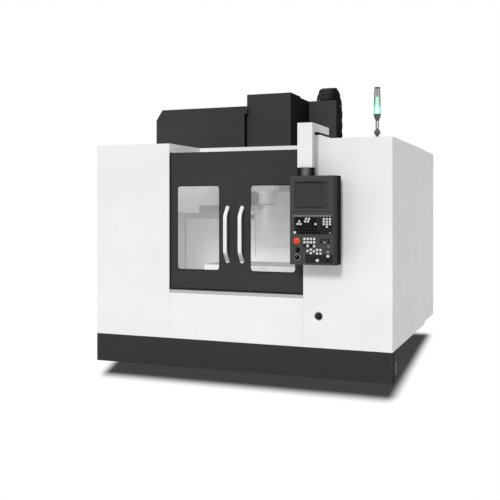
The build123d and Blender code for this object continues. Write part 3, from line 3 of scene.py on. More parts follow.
import bmesh
import bpy
import numpy as np
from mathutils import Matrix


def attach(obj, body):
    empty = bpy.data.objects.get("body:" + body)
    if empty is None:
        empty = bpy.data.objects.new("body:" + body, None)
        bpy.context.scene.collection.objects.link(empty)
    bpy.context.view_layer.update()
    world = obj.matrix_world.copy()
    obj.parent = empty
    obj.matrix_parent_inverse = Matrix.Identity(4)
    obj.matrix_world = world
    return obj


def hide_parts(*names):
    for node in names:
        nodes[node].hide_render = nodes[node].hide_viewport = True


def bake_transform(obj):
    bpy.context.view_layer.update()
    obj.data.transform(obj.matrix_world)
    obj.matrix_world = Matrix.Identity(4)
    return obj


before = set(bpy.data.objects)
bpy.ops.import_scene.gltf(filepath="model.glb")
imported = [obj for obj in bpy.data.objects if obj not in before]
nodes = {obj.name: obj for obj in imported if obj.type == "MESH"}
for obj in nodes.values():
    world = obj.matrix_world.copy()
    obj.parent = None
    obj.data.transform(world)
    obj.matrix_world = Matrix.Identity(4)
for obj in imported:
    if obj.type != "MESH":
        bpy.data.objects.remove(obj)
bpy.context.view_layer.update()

frontY = -1.128    # front face of the guard, in metres
print("stage: frame loaded,", len(nodes), "nodes")


stageSettings = {
    "cameraPlace": (2.853, -8.037, 1.584),
    "cameraTurn": math.radians(21.27),
    "lens": 56.49,
    "shiftY": -0.088,
    "clipEnd": 200,
    # name, aim, strength
    "suns": (("keyLight", (-0.05, 0.88, -0.47), 1.369),
             ("sideLight", (0.35, 0.8, -0.45), 0.22),
             ("farLight", (0.8, 0.55, -0.3), 0.08)),
    "sunSpread": 0.22,
    "sunFar": 8.0,
    # name, place, target, size, power
    "lamps": (("topLamp", (0.5, 0.0, 7.5), (0.3, 0.0, 1.0), (4.0, 4.0), 260),
              ("chamberWide", (-0.45, frontY + 0.13, 1.0), (-0.45, frontY + 1.4, 1.0), (1.6, 0.5), 4.2),
              ("chamberBack", (0.0, frontY + 1.25, 0.93), (0.0, frontY + 1.5, 0.98), (1.9, 0.1), 1.6),
              ("chamberHigh", (-0.9, frontY + 0.4, 1.98), (-0.9, frontY + 1.3, 1.2), (0.6, 0.25), 1.5)),
    "worldFill": 0.4,
    "floorHalf": 40.0,
    "floorAlbedo": 0.86,
    "shadowTone": (0.052, 0.055, 0.054, 1),
    "shadowBox": (-1.25, 1.45, -1.495, 1.65),    # x low, x high, y low, y high of the dark patch
    "shadowSlant": (0.37, -1.13),    # how far its left edge leans right per metre in front of this y
    "shadowLean": -0.06,    # how far its right edge leans right per metre backwards
    "shadowSoft": (0.133, 0.345),    # how wide its edge is across and deep
}


class Tree:
    # short hand for building node trees

    def __init__(self, owner):
        owner.use_nodes = True
        self.tree = owner.node_tree
        self.tree.nodes.clear()

    def add(self, kind, inputs=None, **options):
        node = self.tree.nodes.new("ShaderNode" + kind)
        for key, value in options.items():
            setattr(node, key, value)
        for key, value in (inputs or {}).items():
            if isinstance(value, bpy.types.NodeSocket):
                self.tree.links.new(value, node.inputs[key])
            else:
                node.inputs[key].default_value = value
        return node

    def calc(self, a, operation, b, clamp=False):
        return self.add("Math", {0: a, 1: b}, operation=operation, use_clamp=clamp).outputs[0]

    def mix(self, factor, a, b):
        return self.add("Mix", {0: factor, 6: a, 7: b}, data_type="RGBA").outputs[2]

    def remap(self, value, low, high, toLow=0.0, toHigh=1.0, kind="LINEAR"):
        inputs = {0: value, 1: low, 2: high, 3: toLow, 4: toHigh}
        return self.add("MapRange", inputs, interpolation_type=kind, clamp=True).outputs[0]

    def axis(self, vector, index):
        return self.add("SeparateXYZ", {0: vector}).outputs[index]

    def facing(self, index):
        # one part of the surface normal
        return self.axis(self.add("TexCoord").outputs["Normal"], index)

    def noise(self, place, scale, detail, rough=0.5, stretch=None):
        if stretch:
            place = self.add("Mapping", {"Vector": place, "Scale": stretch}).outputs[0]
        inputs = {"Vector": place, "Scale": scale, "Detail": detail, "Roughness": rough}
        return self.add("TexNoise", inputs).outputs[0]

    def bump(self, height, strength, distance):
        return self.add("Bump", {"Strength": strength, "Distance": distance, "Height": height}).outputs[0]

    def surface(self, inputs):
        shader = self.add("BsdfPrincipled", inputs)
        self.add("OutputMaterial", {"Surface": shader.outputs[0]})


def startMaterial(name):
    # a material, its empty tree and the Object coordinates in it
    material = bpy.data.materials.new(name)
    tree = Tree(material)
    return material, tree, tree.add("TexCoord").outputs["Object"]


def seenRay(tree):
    # 1 for camera, glossy and transmission rays
    path = tree.add("LightPath").outputs
    first = tree.calc(path["Is Camera Ray"], "ADD", path["Is Glossy Ray"])
    return tree.calc(first, "ADD", path["Is Transmission Ray"], True)


def addObject(name, data):
    item = bpy.data.objects.new(name, data)
    bpy.context.scene.collection.objects.link(item)
    return item


def buildCamera():
    camera = addObject("camera", bpy.data.cameras.new("camera"))
    camera.location = stageSettings["cameraPlace"]
    camera.rotation_euler = (math.pi / 2, 0, stageSettings["cameraTurn"])
    camera.data.lens = stageSettings["lens"]
    camera.data.shift_y = stageSettings["shiftY"]
    camera.data.clip_end = stageSettings["clipEnd"]
    bpy.context.scene.camera = camera
    bpy.context.scene.view_settings.view_transform = "Standard"


def buildWorld():
    world = bpy.data.worlds.new("studio")
    bpy.context.scene.world = world
    tree = Tree(world)
    fill = tree.remap(seenRay(tree), 0, 1, stageSettings["worldFill"], 1.0)
    back = tree.add("Background", {"Color": (1, 1, 1, 1), "Strength": fill})
    tree.add("OutputWorld", {"Surface": back.outputs[0]})


def floorMaterial():
    # seen rays meet white with a soft painted shadow under the machine, other rays a plain white floor
    material, tree, place = startMaterial("floorWhite")
    x, y = tree.axis(place, 0), tree.axis(place, 1)
    xLow, xHigh, yLow, yHigh = stageSettings["shadowBox"]
    slant, slantStart = stageSettings["shadowSlant"]
    ahead = tree.calc(tree.calc(slantStart, "SUBTRACT", y), "MAXIMUM", 0.0)
    leftEdge = tree.calc(xLow, "ADD", tree.calc(ahead, "MULTIPLY", slant))
    rightEdge = tree.calc(xHigh, "ADD", tree.calc(y, "MULTIPLY", stageSettings["shadowLean"]))
    squares = []
    for value, low, high, soft in ((x, leftEdge, rightEdge, stageSettings["shadowSoft"][0]),
                                   (y, yLow, yHigh, stageSettings["shadowSoft"][1])):
        # overshoot past either edge, in widths of the soft edge, squared
        over = tree.calc(tree.calc(value, "SUBTRACT", high), "MAXIMUM", tree.calc(low, "SUBTRACT", value))
        over = tree.calc(tree.calc(over, "MAXIMUM", 0.0), "DIVIDE", soft)
        squares.append(tree.calc(over, "MULTIPLY", over))
    distance = tree.calc(tree.calc(squares[0], "ADD", squares[1]), "POWER", 0.5)
    light = tree.remap(distance, 0.0, 1.0, 0.0, 1.0, "SMOOTHSTEP")
    seenColor = tree.mix(light, stageSettings["shadowTone"], (1, 1, 1, 1))
    albedo = stageSettings["floorAlbedo"]
    bounce = tree.add("BsdfDiffuse", {"Color": (albedo, albedo, albedo, 1)})
    glow = tree.add("Emission", {"Color": seenColor, "Strength": 1.0})
    mixed = tree.add("MixShader", {0: seenRay(tree), 1: bounce.outputs[0], 2: glow.outputs[0]})
    tree.add("OutputMaterial", {"Surface": mixed.outputs[0]})
    return material


def buildFloor():
    half = stageSettings["floorHalf"]
    mesh = bpy.data.meshes.new("floor")
    mesh.from_pydata([(-half, -half, 0), (half, -half, 0), (half, half, 0), (-half, half, 0)], [],
                     [(0, 1, 2, 3)])
    floor = addObject("floor", mesh)
    mesh.materials.append(floorMaterial())


def aimTurn(direction):
    # turn that points a lamp's -Z along the direction
    x, y, z = direction / np.linalg.norm(direction)
    return (math.acos(max(-1.0, min(1.0, -z))), 0.0, math.atan2(y, x) - math.pi / 2)


def addSun(name, direction, strength):
    data = bpy.data.lights.new(name, "SUN")
    data.energy = strength
    data.angle = stageSettings["sunSpread"]
    sun = addObject(name, data)
    aim = np.array(direction, float)
    sun.location = (-aim * stageSettings["sunFar"]).tolist()
    sun.rotation_euler = aimTurn(aim)


def addLamp(name, place, target, size, power):
    data = bpy.data.lights.new(name, "AREA")
    data.shape = "RECTANGLE"
    data.size, data.size_y = size
    data.energy = power
    lamp = addObject(name, data)
    lamp.location = place
    lamp.rotation_euler = aimTurn(np.array(target, float) - np.array(place, float))
    lamp.visible_camera = False


buildCamera()
buildWorld()
buildFloor()
for sunRow in stageSettings["suns"]:
    addSun(*sunRow)
for lampRow in stageSettings["lamps"]:
    addLamp(*lampRow)
print("stage: camera and light set")


paintKinds = {
    # color, roughness, specular level, peel scale, peel strength, painted shade: darker colour of faces that look
    # along +X
    "whitePaint": ((0.86, 0.86, 0.865), 0.45, 0.25, 260.0, 0.03, None),
    # white paint again, with a painted shade on its faces that look along +X
    "armPaint": ((0.86, 0.86, 0.865), 0.45, 0.25, 260.0, 0.03, (0.62, 0.61, 0.615)),
    "innerPaint": ((0.78, 0.785, 0.8), 0.5, 0.2, 220.0, 0.03, None),
    "guardPaint": ((0.45, 0.45, 0.46), 0.5, 0.2, 220.0, 0.03, None),
    "spindlePaint": ((0.74, 0.74, 0.745), 0.35, 0.5, 220.0, 0.03, None),
    "charcoalPaint": ((0.046, 0.046, 0.046), 0.78, 0.05, 240.0, 0.05, (0.002, 0.002, 0.002)),
    "plinthPaint": ((0.038, 0.038, 0.038), 0.75, 0.08, 240.0, 0.05, (0.011, 0.011, 0.011)),
    "pendantPaint": ((0.066, 0.067, 0.064), 0.75, 0.05, 420.0, 0.05, (0.003, 0.003, 0.003)),
    "castingPaint": ((0.42, 0.44, 0.44), 0.55, 0.3, 60.0, 0.18, None),
    "greyPaint": ((0.09, 0.094, 0.092), 0.5, 0.3, 200.0, 0.05, None),
    "motorPaint": ((0.02, 0.02, 0.022), 0.5, 0.3, 180.0, 0.06, None),
    "blackPlastic": ((0.016, 0.016, 0.017), 0.55, 0.3, 320.0, 0.08, None),
    "carrierPlastic": ((0.018, 0.018, 0.018), 0.75, 0.03, 320.0, 0.05, (0.002, 0.002, 0.002)),
    "rubber": ((0.01, 0.01, 0.01), 0.8, 0.1, 320.0, 0.08, None),
    "keyLight": ((0.72, 0.72, 0.7), 0.45, 0.3, 500.0, 0.04, None),
    "keySoft": ((0.34, 0.34, 0.33), 0.5, 0.3, 500.0, 0.04, None),
    "screenMark": ((0.11, 0.125, 0.11), 0.5, 0.2, 500.0, 0.02, None),
    "seamGrey": ((0.66, 0.66, 0.665), 0.6, 0.2, 200.0, 0.03, None),
    "palePaint": ((0.82, 0.825, 0.83), 0.5, 0.2, 220.0, 0.03, None),
    "coverSteel": ((0.77, 0.775, 0.79), 0.45, 0.25, 90.0, 0.05, None),
    "signYellow": ((0.8, 0.5, 0.03), 0.45, 0.3, 300.0, 0.03, None),
    "keyDark": ((0.004, 0.004, 0.004), 0.7, 0.04, 500.0, 0.05, None),
    "membrane": ((0.022, 0.022, 0.022), 0.75, 0.05, 500.0, 0.04, None),
    "keyYellow": ((0.4, 0.23, 0.1), 0.45, 0.3, 500.0, 0.04, None),
    "stopRed": ((0.72, 0.035, 0.015), 0.28, 0.5, 300.0, 0.02, None),
    "stopYellow": ((0.85, 0.3, 0.02), 0.4, 0.4, 300.0, 0.03, None),
    "handleWhite": ((0.84, 0.84, 0.85), 0.22, 0.8, 300.0, 0.02, None),
    "sillGrey": ((0.475, 0.475, 0.48), 0.5, 0.25, 220.0, 0.03, None),
}
# painted shade: the handles' faces that look down get a darker colour
paintedShadeBelow = {"handleWhite": (0.4, 0.4, 0.405)}    # colour of faces that look down
metalKinds = {
    # color, roughness, stretch of the grain on X, Y and Z, grain strength
    "groundSteel": ((0.55, 0.55, 0.56), 0.32, (4.0, 4.0, 260.0), 0.08),
    "brushedAlong": ((0.62, 0.62, 0.63), 0.35, (3.0, 220.0, 220.0), 0.1),
    "turnedSteel": ((0.6, 0.6, 0.61), 0.28, (6.0, 6.0, 320.0), 0.08),
    "chromed": ((0.78, 0.78, 0.79), 0.12, (40.0, 40.0, 40.0), 0.02),
    "zincPlate": ((0.5, 0.51, 0.53), 0.42, (60.0, 60.0, 60.0), 0.08),
}
# painted highlights: a lighter stripe down the front of the pendant drum and of the lamp pole
paintedHighlightKinds = {
    # dark tone, painted highlight tone, sideways part of the normal in the middle of the painted highlight, its
    # half width, rough, specular
    "drumBlack": ((0.007, 0.007, 0.007, 1), (0.17, 0.16, 0.16, 1), 0.19, 0.72, 0.55, 0.05),
    "poleSteel": ((0.12, 0.12, 0.12, 1), (0.9, 0.89, 0.88, 1), 0.27, 0.62, 0.3, 0.1),
}


def toned(color, share=1.0):
    return tuple(part * share for part in color) + (1,)


def paintMaterial(name):
    color, rough, specular, scale, strength, paintedSideShade = paintKinds[name]
    material, tree, place = startMaterial(name)
    fine = tree.noise(place, scale, 3.0, 0.6)
    coarse = tree.noise(place, 2.3, 4.0, 0.55)
    base = tree.mix(tree.remap(coarse, 0.3, 0.7), toned(color, 0.95), toned(color))
    # painted shade: faces that look along +X get a darker colour
    if paintedSideShade:
        base = tree.mix(tree.remap(tree.facing(0), 0.62, 0.92), base, toned(paintedSideShade))
    # painted shade: faces that look down get a darker colour
    if name in paintedShadeBelow:
        base = tree.mix(tree.remap(tree.facing(2), -0.25, -0.6), base, toned(paintedShadeBelow[name]))
    tree.surface({
        "Base Color": base, "Specular IOR Level": specular, "Normal": tree.bump(fine, strength, 0.0006),
        "Roughness": tree.remap(fine, 0.2, 0.8, rough * 0.92, min(1.0, rough * 1.08)),
    })
    return material


def metalMaterial(name):
    color, rough, stretch, strength = metalKinds[name]
    material, tree, place = startMaterial(name)
    grain = tree.noise(place, 1.0, 5.0, stretch=stretch)
    tree.surface({
        "Base Color": tree.mix(tree.remap(grain, 0.3, 0.7), toned(color, 0.86), toned(color)),
        "Roughness": tree.remap(grain, 0.25, 0.75, rough * 0.8, rough * 1.25),
        "Metallic": 1.0, "Normal": tree.bump(grain, strength, 0.0004),
    })
    return material


def paintedHighlightMaterial(name):
    # turned part with a painted highlight: a lighter tone in a soft stripe along its front, placed by the surface
    # normal
    dark, light, middle, half, rough, specular = paintedHighlightKinds[name]
    material, tree, place = startMaterial(name)
    fine = tree.noise(place, 300.0, 3.0, 0.6)
    coarse = tree.noise(place, 2.3, 4.0, 0.55)
    across = tree.calc(tree.calc(tree.facing(0), "SUBTRACT", middle), "ABSOLUTE", 0.0)
    front = tree.calc(tree.facing(1), "LESS_THAN", -0.1)
    # painted highlight: lighter where the normal points near the stripe's middle, on faces that look forward
    highlight = tree.calc(tree.remap(across, half, 0.0, 0.0, 1.0, "SMOOTHSTEP"), "MULTIPLY", front)
    share = tree.calc(highlight, "MULTIPLY", tree.remap(fine, 0.3, 0.7, 0.94, 1.0))
    tree.surface({
        "Base Color": tree.mix(share, dark, light), "Specular IOR Level": specular,
        "Roughness": tree.remap(coarse, 0.3, 0.7, rough * 0.9, rough * 1.1),
    })
    return material


def windowMaterial():
    # clear sheet with faint streaks: a thin share of surface over a see-through one
    material, tree, place = startMaterial("windowGlass")
    tree.surface({
        "Base Color": (0.9, 0.91, 0.92, 1), "Alpha": 0.14, "Specular IOR Level": 0.5,
        "Roughness": tree.remap(tree.noise(place, 6.0, 3.0), 0.3, 0.7, 0.05, 0.1),
    })
    return material


lensSettings = {
    "foot": 2.408,
    "top": 2.652,
    # share of the height, colour
    "shell": ((0.0, (0.10, 0.42, 0.36, 1)), (0.24, (0.12, 0.50, 0.43, 1)), (0.38, (0.06, 0.22, 0.13, 1)),
              (0.60, (0.05, 0.18, 0.10, 1)), (0.68, (0.05, 0.06, 0.05, 1)), (1.0, (0.05, 0.06, 0.055, 1))),
    "core": ((0.0, (0.62, 1.0, 0.95, 1)), (0.22, (0.70, 1.0, 0.96, 1)), (0.40, (0.36, 0.95, 0.55, 1)),
             (0.62, (0.42, 0.92, 0.62, 1)), (0.66, (0.36, 0.42, 0.30, 1)), (1.0, (0.36, 0.40, 0.32, 1))),
}


def heightRamp(tree, place, stops):
    # share of the height between the lens's foot and its top, and the colour there
    share = tree.remap(tree.axis(place, 2), lensSettings["foot"], lensSettings["top"])
    ramp = tree.add("ValToRGB", {0: share})
    for index, (where, color) in enumerate(stops):
        element = ramp.color_ramp.elements[index] if index < 2 else ramp.color_ramp.elements.new(where)
        element.position, element.color = where, color
    return share, ramp.outputs[0]


def lensMaterial():
    # tinted plastic, see-through enough for the lit core: paler and glowing low down
    material, tree, place = startMaterial("lampLens")
    share, color = heightRamp(tree, place, lensSettings["shell"])
    edge = tree.add("LayerWeight", {"Blend": 0.5}).outputs["Facing"]
    tree.surface({
        "Base Color": color, "Roughness": 0.2, "Specular IOR Level": 0.08, "Emission Color": color,
        "Emission Strength": tree.remap(share, 0.24, 0.45, 0.5, 0.0),
        "Alpha": tree.remap(edge, 0.05, 0.5, 0.12, 0.97),
    })
    return material


def coreMaterial():
    # lit diffuser: cyan-white at its foot, green above, plain column at the top
    material, tree, place = startMaterial("lampCore")
    share, color = heightRamp(tree, place, lensSettings["core"])
    tree.surface({
        "Base Color": color, "Roughness": 0.5, "Emission Color": color,
        "Emission Strength": tree.remap(share, 0.62, 0.67, 0.8, 0.1),
    })
    return material


def tubeMaterial():
    # frosted tube with a soft light in it, brighter and dimmer by a faint noise
    material, tree, place = startMaterial("tubeGlow")
    color = tree.mix(tree.noise(place, 40.0, 2.0), (0.9, 0.93, 0.95, 1), (0.96, 0.98, 1.0, 1))
    tree.surface({"Base Color": color, "Roughness": 0.4, "Emission Color": color, "Emission Strength": 0.7})
    return material


def tableMaterial():
    # ground iron on top, pale paint on the sides
    material, tree, place = startMaterial("tableIron")
    grain = tree.noise(place, 1.0, 5.0, stretch=(2.0, 260.0, 260.0))
    top = tree.remap(tree.facing(2), 0.8, 0.95)
    iron = tree.mix(grain, (0.30, 0.30, 0.31, 1), (0.42, 0.42, 0.43, 1))
    tree.surface({
        "Base Color": tree.mix(top, (0.6, 0.605, 0.61, 1), iron), "Normal": tree.bump(grain, 0.08, 0.0004),
        "Metallic": tree.remap(top, 0.0, 1.0, 0.0, 0.8),
        "Roughness": tree.remap(grain, 0.25, 0.75, 0.34, 0.5),
    })
    return material


def screenMaterial():
    # dark display glass with a fine mottle
    material, tree, place = startMaterial("screenDark")
    base = tree.mix(tree.noise(place, 900.0, 2.0), (0.027, 0.029, 0.026, 1), (0.035, 0.037, 0.033, 1))
    tree.surface({"Base Color": base, "Roughness": 0.3, "Specular IOR Level": 0.2})
    return material


finishes = {name: paintMaterial(name) for name in paintKinds}
finishes.update({name: metalMaterial(name) for name in metalKinds})
finishes.update({name: paintedHighlightMaterial(name) for name in paintedHighlightKinds})
for made in (windowMaterial(), lensMaterial(), coreMaterial(), tubeMaterial(), tableMaterial(), screenMaterial()):
    finishes[made.name] = made

nodeFinish = {
    "whitePaint": ("front_left_panel front_right_panel front_lower_panel side_panels rear_panels roof_panel "
                   "electrical_cabinet cabinet_door"),
    "armPaint": "pendant_arm",
    "innerPaint": "chamber_liner chip_tray",
    "guardPaint": "magazine_guard",
    "spindlePaint": "spindle_cartridge",
    "sillGrey": "door_track",
    "charcoalPaint": "magazine_cover head_cover carrier_cover right_door left_door",
    "plinthPaint": "base_skirt",
    "pendantPaint": "pendant_housing",
    "castingPaint": "bed_casting column_casting saddle spindle_head magazine_bracket",
    "greyPaint": "coolant_tank carrier_arm lamp_base lamp_pole magazine_disc cabinet_equipment",
    "motorPaint": "axis_motors cross_motor spindle_motor air_coupling",
    "blackPlastic": "skirt_fittings",
    "keyDark": "mode_selector feed_dial",
    "carrierPlastic": "cable_carrier",
    "keyLight": "pendant_keys",
    "stopRed": "stop_button isolator_handle",
    "handleWhite": "right_handle left_handle",
    "brushedAlong": "door_header",
    "groundSteel": "levelling_feet guide_rails change_arm change_shaft z_way_cover",
    "tableIron": "table",
    "turnedSteel": "x_screw y_screw z_screw",
    "chromed": "spindle",
    "windowGlass": "right_window left_window",
    "lampLens": "lamp_lens",
    "screenDark": "pendant_screen",
}
for finishName, members in nodeFinish.items():
    for member in members.split():
        data = nodes[member].data
        data.materials.clear()
        data.materials.append(finishes[finishName])
print("stage: materials made,", len(finishes))


# makers of new pieces: all sizes in millimetres across, behind the guard's front plane and above the floor

sharpAngle = math.radians(35)
facingFront = ((1, 0, 0), (0, 0, 1), (0, -1, 0))
facingBack = ((-1, 0, 0), (0, 0, 1), (0, 1, 0))
facingUp = ((1, 0, 0), (0, 1, 0), (0, 0, 1))
facingDown = ((1, 0, 0), (0, -1, 0), (0, 0, -1))


def loft(name, rings, body, finish, closed=False):
    # rings holds solids x levels x points around x 3: walls join each ring to the next,
    # and the end rings are filled, or joined to each other where the levels close on themselves
    rings = np.asarray(rings, float)
    rings = rings if rings.ndim == 4 else rings[None]
    solids, levels, around, _ = rings.shape
    index = np.arange(solids * levels * around).reshape(solids, levels, around)
    if closed:
        index = np.concatenate([index, index[:, :1]], axis=1)
    after = np.roll(index, -1, axis=2)
    walls = np.stack([index[:, :-1], after[:, :-1], after[:, 1:], index[:, 1:]], -1).reshape(-1, 4)
    faces = walls.tolist()
    if not closed:
        faces += index[:, 0, ::-1].tolist() + index[:, -1].tolist()
    places = rings.reshape(-1, 3) / 1000 + (0, frontY, 0)
    mesh = bpy.data.meshes.new(name)
    mesh.from_pydata(places.tolist(), [], faces)
    shell = bmesh.new()
    shell.from_mesh(mesh)
    bmesh.ops.recalc_face_normals(shell, faces=shell.faces)
    shell.to_mesh(mesh)
    shell.free()
    mesh.shade_smooth()
    mesh.set_sharp_from_angle(angle=sharpAngle)
    mesh.materials.append(finishes[finish])
    piece = addObject(name, mesh)
    if body:
        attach(piece, body)
    return piece


def framed(local, centres, directions):
    # each local point (u, v, w) lies at its centre plus u, v and w along the three directions
    centres = np.asarray(centres, float).reshape(-1, 3)
    directions = np.broadcast_to(np.asarray(directions, float), (len(centres), 3, 3))
    return centres[:, None, None] + np.einsum("lak,nkj->nlaj", np.asarray(local, float), directions)


def put(name, shape, centres, facing, body, finish, slotName, closed=False):
    # one shape at each of its centres
    return loft(name, framed(shape, centres, facing), body, finish, closed)


def putBar(name, corners, soft, outline, up, body, finish, slotName, arc=7):
    # an outline carried along a path with soft corners
    return loft(name, swept(softPath(corners, soft, arc), outline, up), body, finish)


def putAll(pieces, maker=put):
    return {name: maker(name, *row) for name, row in pieces.items()}


def roundedOutline(count, power):
    # a superellipse: each coordinate is the cosine or sine raised to 2 over power, with its sign kept
    angle = (np.arange(count) + 0.5) * 2 * np.pi / count
    turn = np.stack([np.cos(angle), np.sin(angle)], -1)
    return np.sign(turn) * np.abs(turn) ** (2 / power)


def plateOutline(halfAcross, halfUp, corner, arc):
    # four corner arcs: centre of the corner plus its radius times cosine and sine
    angle = np.radians(np.arange(4)[:, None] * 90 + np.linspace(0, 90, arc)[None])
    across = np.array([1, -1, -1, 1])[:, None] * (halfAcross - corner) + corner * np.cos(angle)
    up = np.array([1, 1, -1, -1])[:, None] * (halfUp - corner) + corner * np.sin(angle)
    return np.stack([across, up], -1).reshape(-1, 2)


def slab(halfAcross, halfUp, corner, steps, arc=5):
    # a rounded rectangle at each step's height, drawn in by the step's inset
    return np.stack([
        np.c_[plateOutline(halfAcross - inset, halfUp - inset, max(corner - inset, 0.05), arc),
              np.full(4 * arc, height)]
        for inset, height in steps])


def turned(profile, around):
    # a profile of radius and height turned about the height axis
    angle = np.arange(around) * 2 * np.pi / around
    radius, height = np.asarray(profile, float).T[..., None]
    return np.stack([radius * np.cos(angle), radius * np.sin(angle), height + 0 * angle], -1)


def screwHead(radius, height):
    # a low head with a round socket
    return turned([(radius, 0), (radius, height * 0.6), (radius * 0.86, height), (radius * 0.52, height),
                   (radius * 0.45, height * 0.4)], 12)


def stack(centres, halfSizes, steps, directions, outline):
    # outline scaled to each half size less the step's inset, laid at the step's height along the last direction
    centres = np.asarray(centres, float).reshape(-1, 1, 1, 3)
    halfSizes = np.asarray(halfSizes, float).reshape(-1, 1, 1, 2)
    inset, height = np.asarray(steps, float).T[:, None, :, None]
    u, v, w = np.asarray(directions, float)
    across = halfSizes[..., 0:1] - inset[..., None]
    upward = halfSizes[..., 1:2] - inset[..., None]
    return (centres + across * outline[None, None, :, 0:1] * u + upward * outline[None, None, :, 1:2] * v
            + height[..., None] * w)


def softPath(corners, radius, arc):
    # straight runs joined by quadratic curves, (1-t)^2 start + 2t(1-t) corner + t^2 end
    corners = np.asarray(corners, float)
    runs = np.diff(corners, axis=0)
    unit = runs / np.linalg.norm(runs, axis=1, keepdims=True)
    t = np.linspace(0, 1, arc)[None, :, None]
    middle = corners[1:-1, None]
    start = middle - radius * unit[:-1, None]
    end = middle + radius * unit[1:, None]
    curves = (1 - t) ** 2 * start + 2 * t * (1 - t) * middle + t ** 2 * end
    return np.concatenate([corners[:1], curves.reshape(-1, 3), corners[-1:]])


def swept(path, outline, up):
    # the outline carried along the path: its u lies along tangent x up, its v along side x tangent
    unit = np.diff(path, axis=0)
    unit /= np.linalg.norm(unit, axis=1, keepdims=True)
    tangent = np.concatenate([unit[:1], unit[:-1] + unit[1:], unit[-1:]])
    tangent /= np.linalg.norm(tangent, axis=1, keepdims=True)
    side = np.cross(tangent, np.asarray(up, float))
    side /= np.linalg.norm(side, axis=1, keepdims=True)
    over = np.cross(side, tangent)
    return path[:, None] + outline[None, :, 0:1] * side[:, None] + outline[None, :, 1:2] * over[:, None]


def circle(radius, around):
    angle = np.arange(around) * 2 * np.pi / around
    return radius * np.stack([np.cos(angle), np.sin(angle)], -1)


def grid(across, deep, up):
    # every combination of the three lists of coordinates
    return np.stack(np.meshgrid(across, deep, up, indexing="ij"), -1).reshape(-1, 3)


keySettings = {
    "origin": (641.0, -243.0, 1853.0),    # the case's top left corner
    "outline": (20, 7.0),    # points and power
    "steps": ((0, 0), (0, 3.0), (0.42, 3.84), (1.2, 4.2), (2.88, 3.8)),
    # name, letter, finish
    "groups": (("keysLight", "L", "keyLight"), ("keysDark", "D", "keyDark"),
               ("keysSoft", "S", "keySoft"), ("keyAmber", "A", "keyYellow")),
    # first key's centre right and down of the origin, step, width, height, a letter for each key's group
    "rows": ((46, 356, 27, 15, 12, "SSSSSSSSSSSSS"), (370, 507, 0, 15, 12, "S"),
             (69, 383, 27.5, 19, 17, "DDDLLDD"), (60, 406, 27.5, 19, 17, "DLDLLDD"),
             (73, 429, 27.5, 19, 17, "LLDDDDL"), (72, 453, 27.5, 19, 17, "DDDDDDD"),
             (72, 480, 27.5, 19, 17, "DDDDDDD"), (106, 505, 27.5, 19, 17, "DDDDDDD"),
             (314, 383, 28, 19, 17, "LLL"), (314, 406, 28, 19, 17, "LLL"),
             (314, 429, 28, 19, 17, "LLL"), (314, 452, 28, 19, 17, "DLD"),
             (136, 560, 30, 20, 20, "LLLL"), (136, 590, 30, 20, 20, "LLLL"), (136, 623, 30, 20, 20, "DLDL"),
             (165, 667, 0, 19, 19, "L"), (195, 655, 0, 19, 19, "L"), (195, 686, 0, 19, 19, "L"),
             (224, 669, 0, 19, 19, "L"), (253, 657, 31, 19, 19, "LL"), (253, 688, 31, 19, 19, "LL"),
             (289, 566, 33.5, 17, 15, "DDD"), (289, 589, 33.5, 17, 15, "DSD"),
             (356, 624, 0, 17, 17, "A"), (351, 673, 0, 19, 19, "S"), (352, 710, 0, 25, 21, "L"),
             (352, 748, 0, 19, 15, "D"), (46, 505, 0, 21, 21, "L"), (255, 749, 0, 27, 23, "L")),
    # left, right, top and bottom of the membranes, from the origin
    "fields": ((40, 392, 368, 520), (146, 396, 696, 774)),
    "fieldCorner": 5.0,
    "fieldSteps": ((0, -1), (0, 0.3), (0.5, 0.7)),
}


def buildKeys():
    left, front, top = keySettings["origin"]
    outline = roundedOutline(*keySettings["outline"])
    for name, group, finish in keySettings["groups"]:
        keys = np.array([(across + step * index, down, width, height)
                         for across, down, step, width, height, letters in keySettings["rows"]
                         for index, letter in enumerate(letters) if letter == group], float)
        centres = np.stack([left + keys[:, 0], np.full(len(keys), front), top - keys[:, 1]], -1)
        rings = stack(centres, keys[:, 2:] / 2, keySettings["steps"], facingFront, outline)
        piece = loft(name, rings, "pendant", finish)
        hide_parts("pendant_keys")


def buildKeyFields():
    # dark membranes that the keys stand in
    originX, front, originZ = keySettings["origin"]
    for index, (left, right, top, bottom) in enumerate(keySettings["fields"]):
        field = slab((right - left) / 2, (bottom - top) / 2, keySettings["fieldCorner"],
                     keySettings["fieldSteps"])
        centre = (originX + (left + right) / 2, front, originZ - (top + bottom) / 2)
        put("keyField%d" % index, field, centre, facingFront, "pendant", "membrane", "black_plastic")


buildKeys()
buildKeyFields()
print("stage: pendant keys made")

knobSettings = {
    "front": -243.0,
    "around": 40,
    "stop": (706.0, 1272.0),
    "mode": (714.0, 1193.0),
    "dial": (710.0, 1128.0),
    # name, knob, inner radius, outer radius, base, finish, slot
    "rings": (("stopRing", "stop", 20.0, 30.5, 2.6, "stopYellow", "red_plastic"),
              ("modeRing", "mode", 18.5, 21.5, 0.0, "keyDark", "black_plastic"),
              ("dialRing", "dial", 23.5, 26.5, 0.0, "keyLight", "chrome")),
    "stopCap": ((12, 4), (12, 11), (24, 11), (27.2, 12.5), (28, 15.5), (26.5, 20), (21, 24), (11, 25.7),
                (3, 26)),
    # knob, radius, count, angle to either side of the top
    "ticks": (("mode", 27.0, 7, 120.0), ("dial", 32.0, 13, 140.0)),
    "tickSize": (2.2, 0.5, 0.2),    # half length, half width, corner
    # body, knob, length of its mark, depth of its top
    "marks": (("mode_selector", "mode", 6.0, -265.3), ("feed_dial", "dial", 7.0, -263.3)),
    "markSize": (1.1, 0.4),    # half width, corner
}


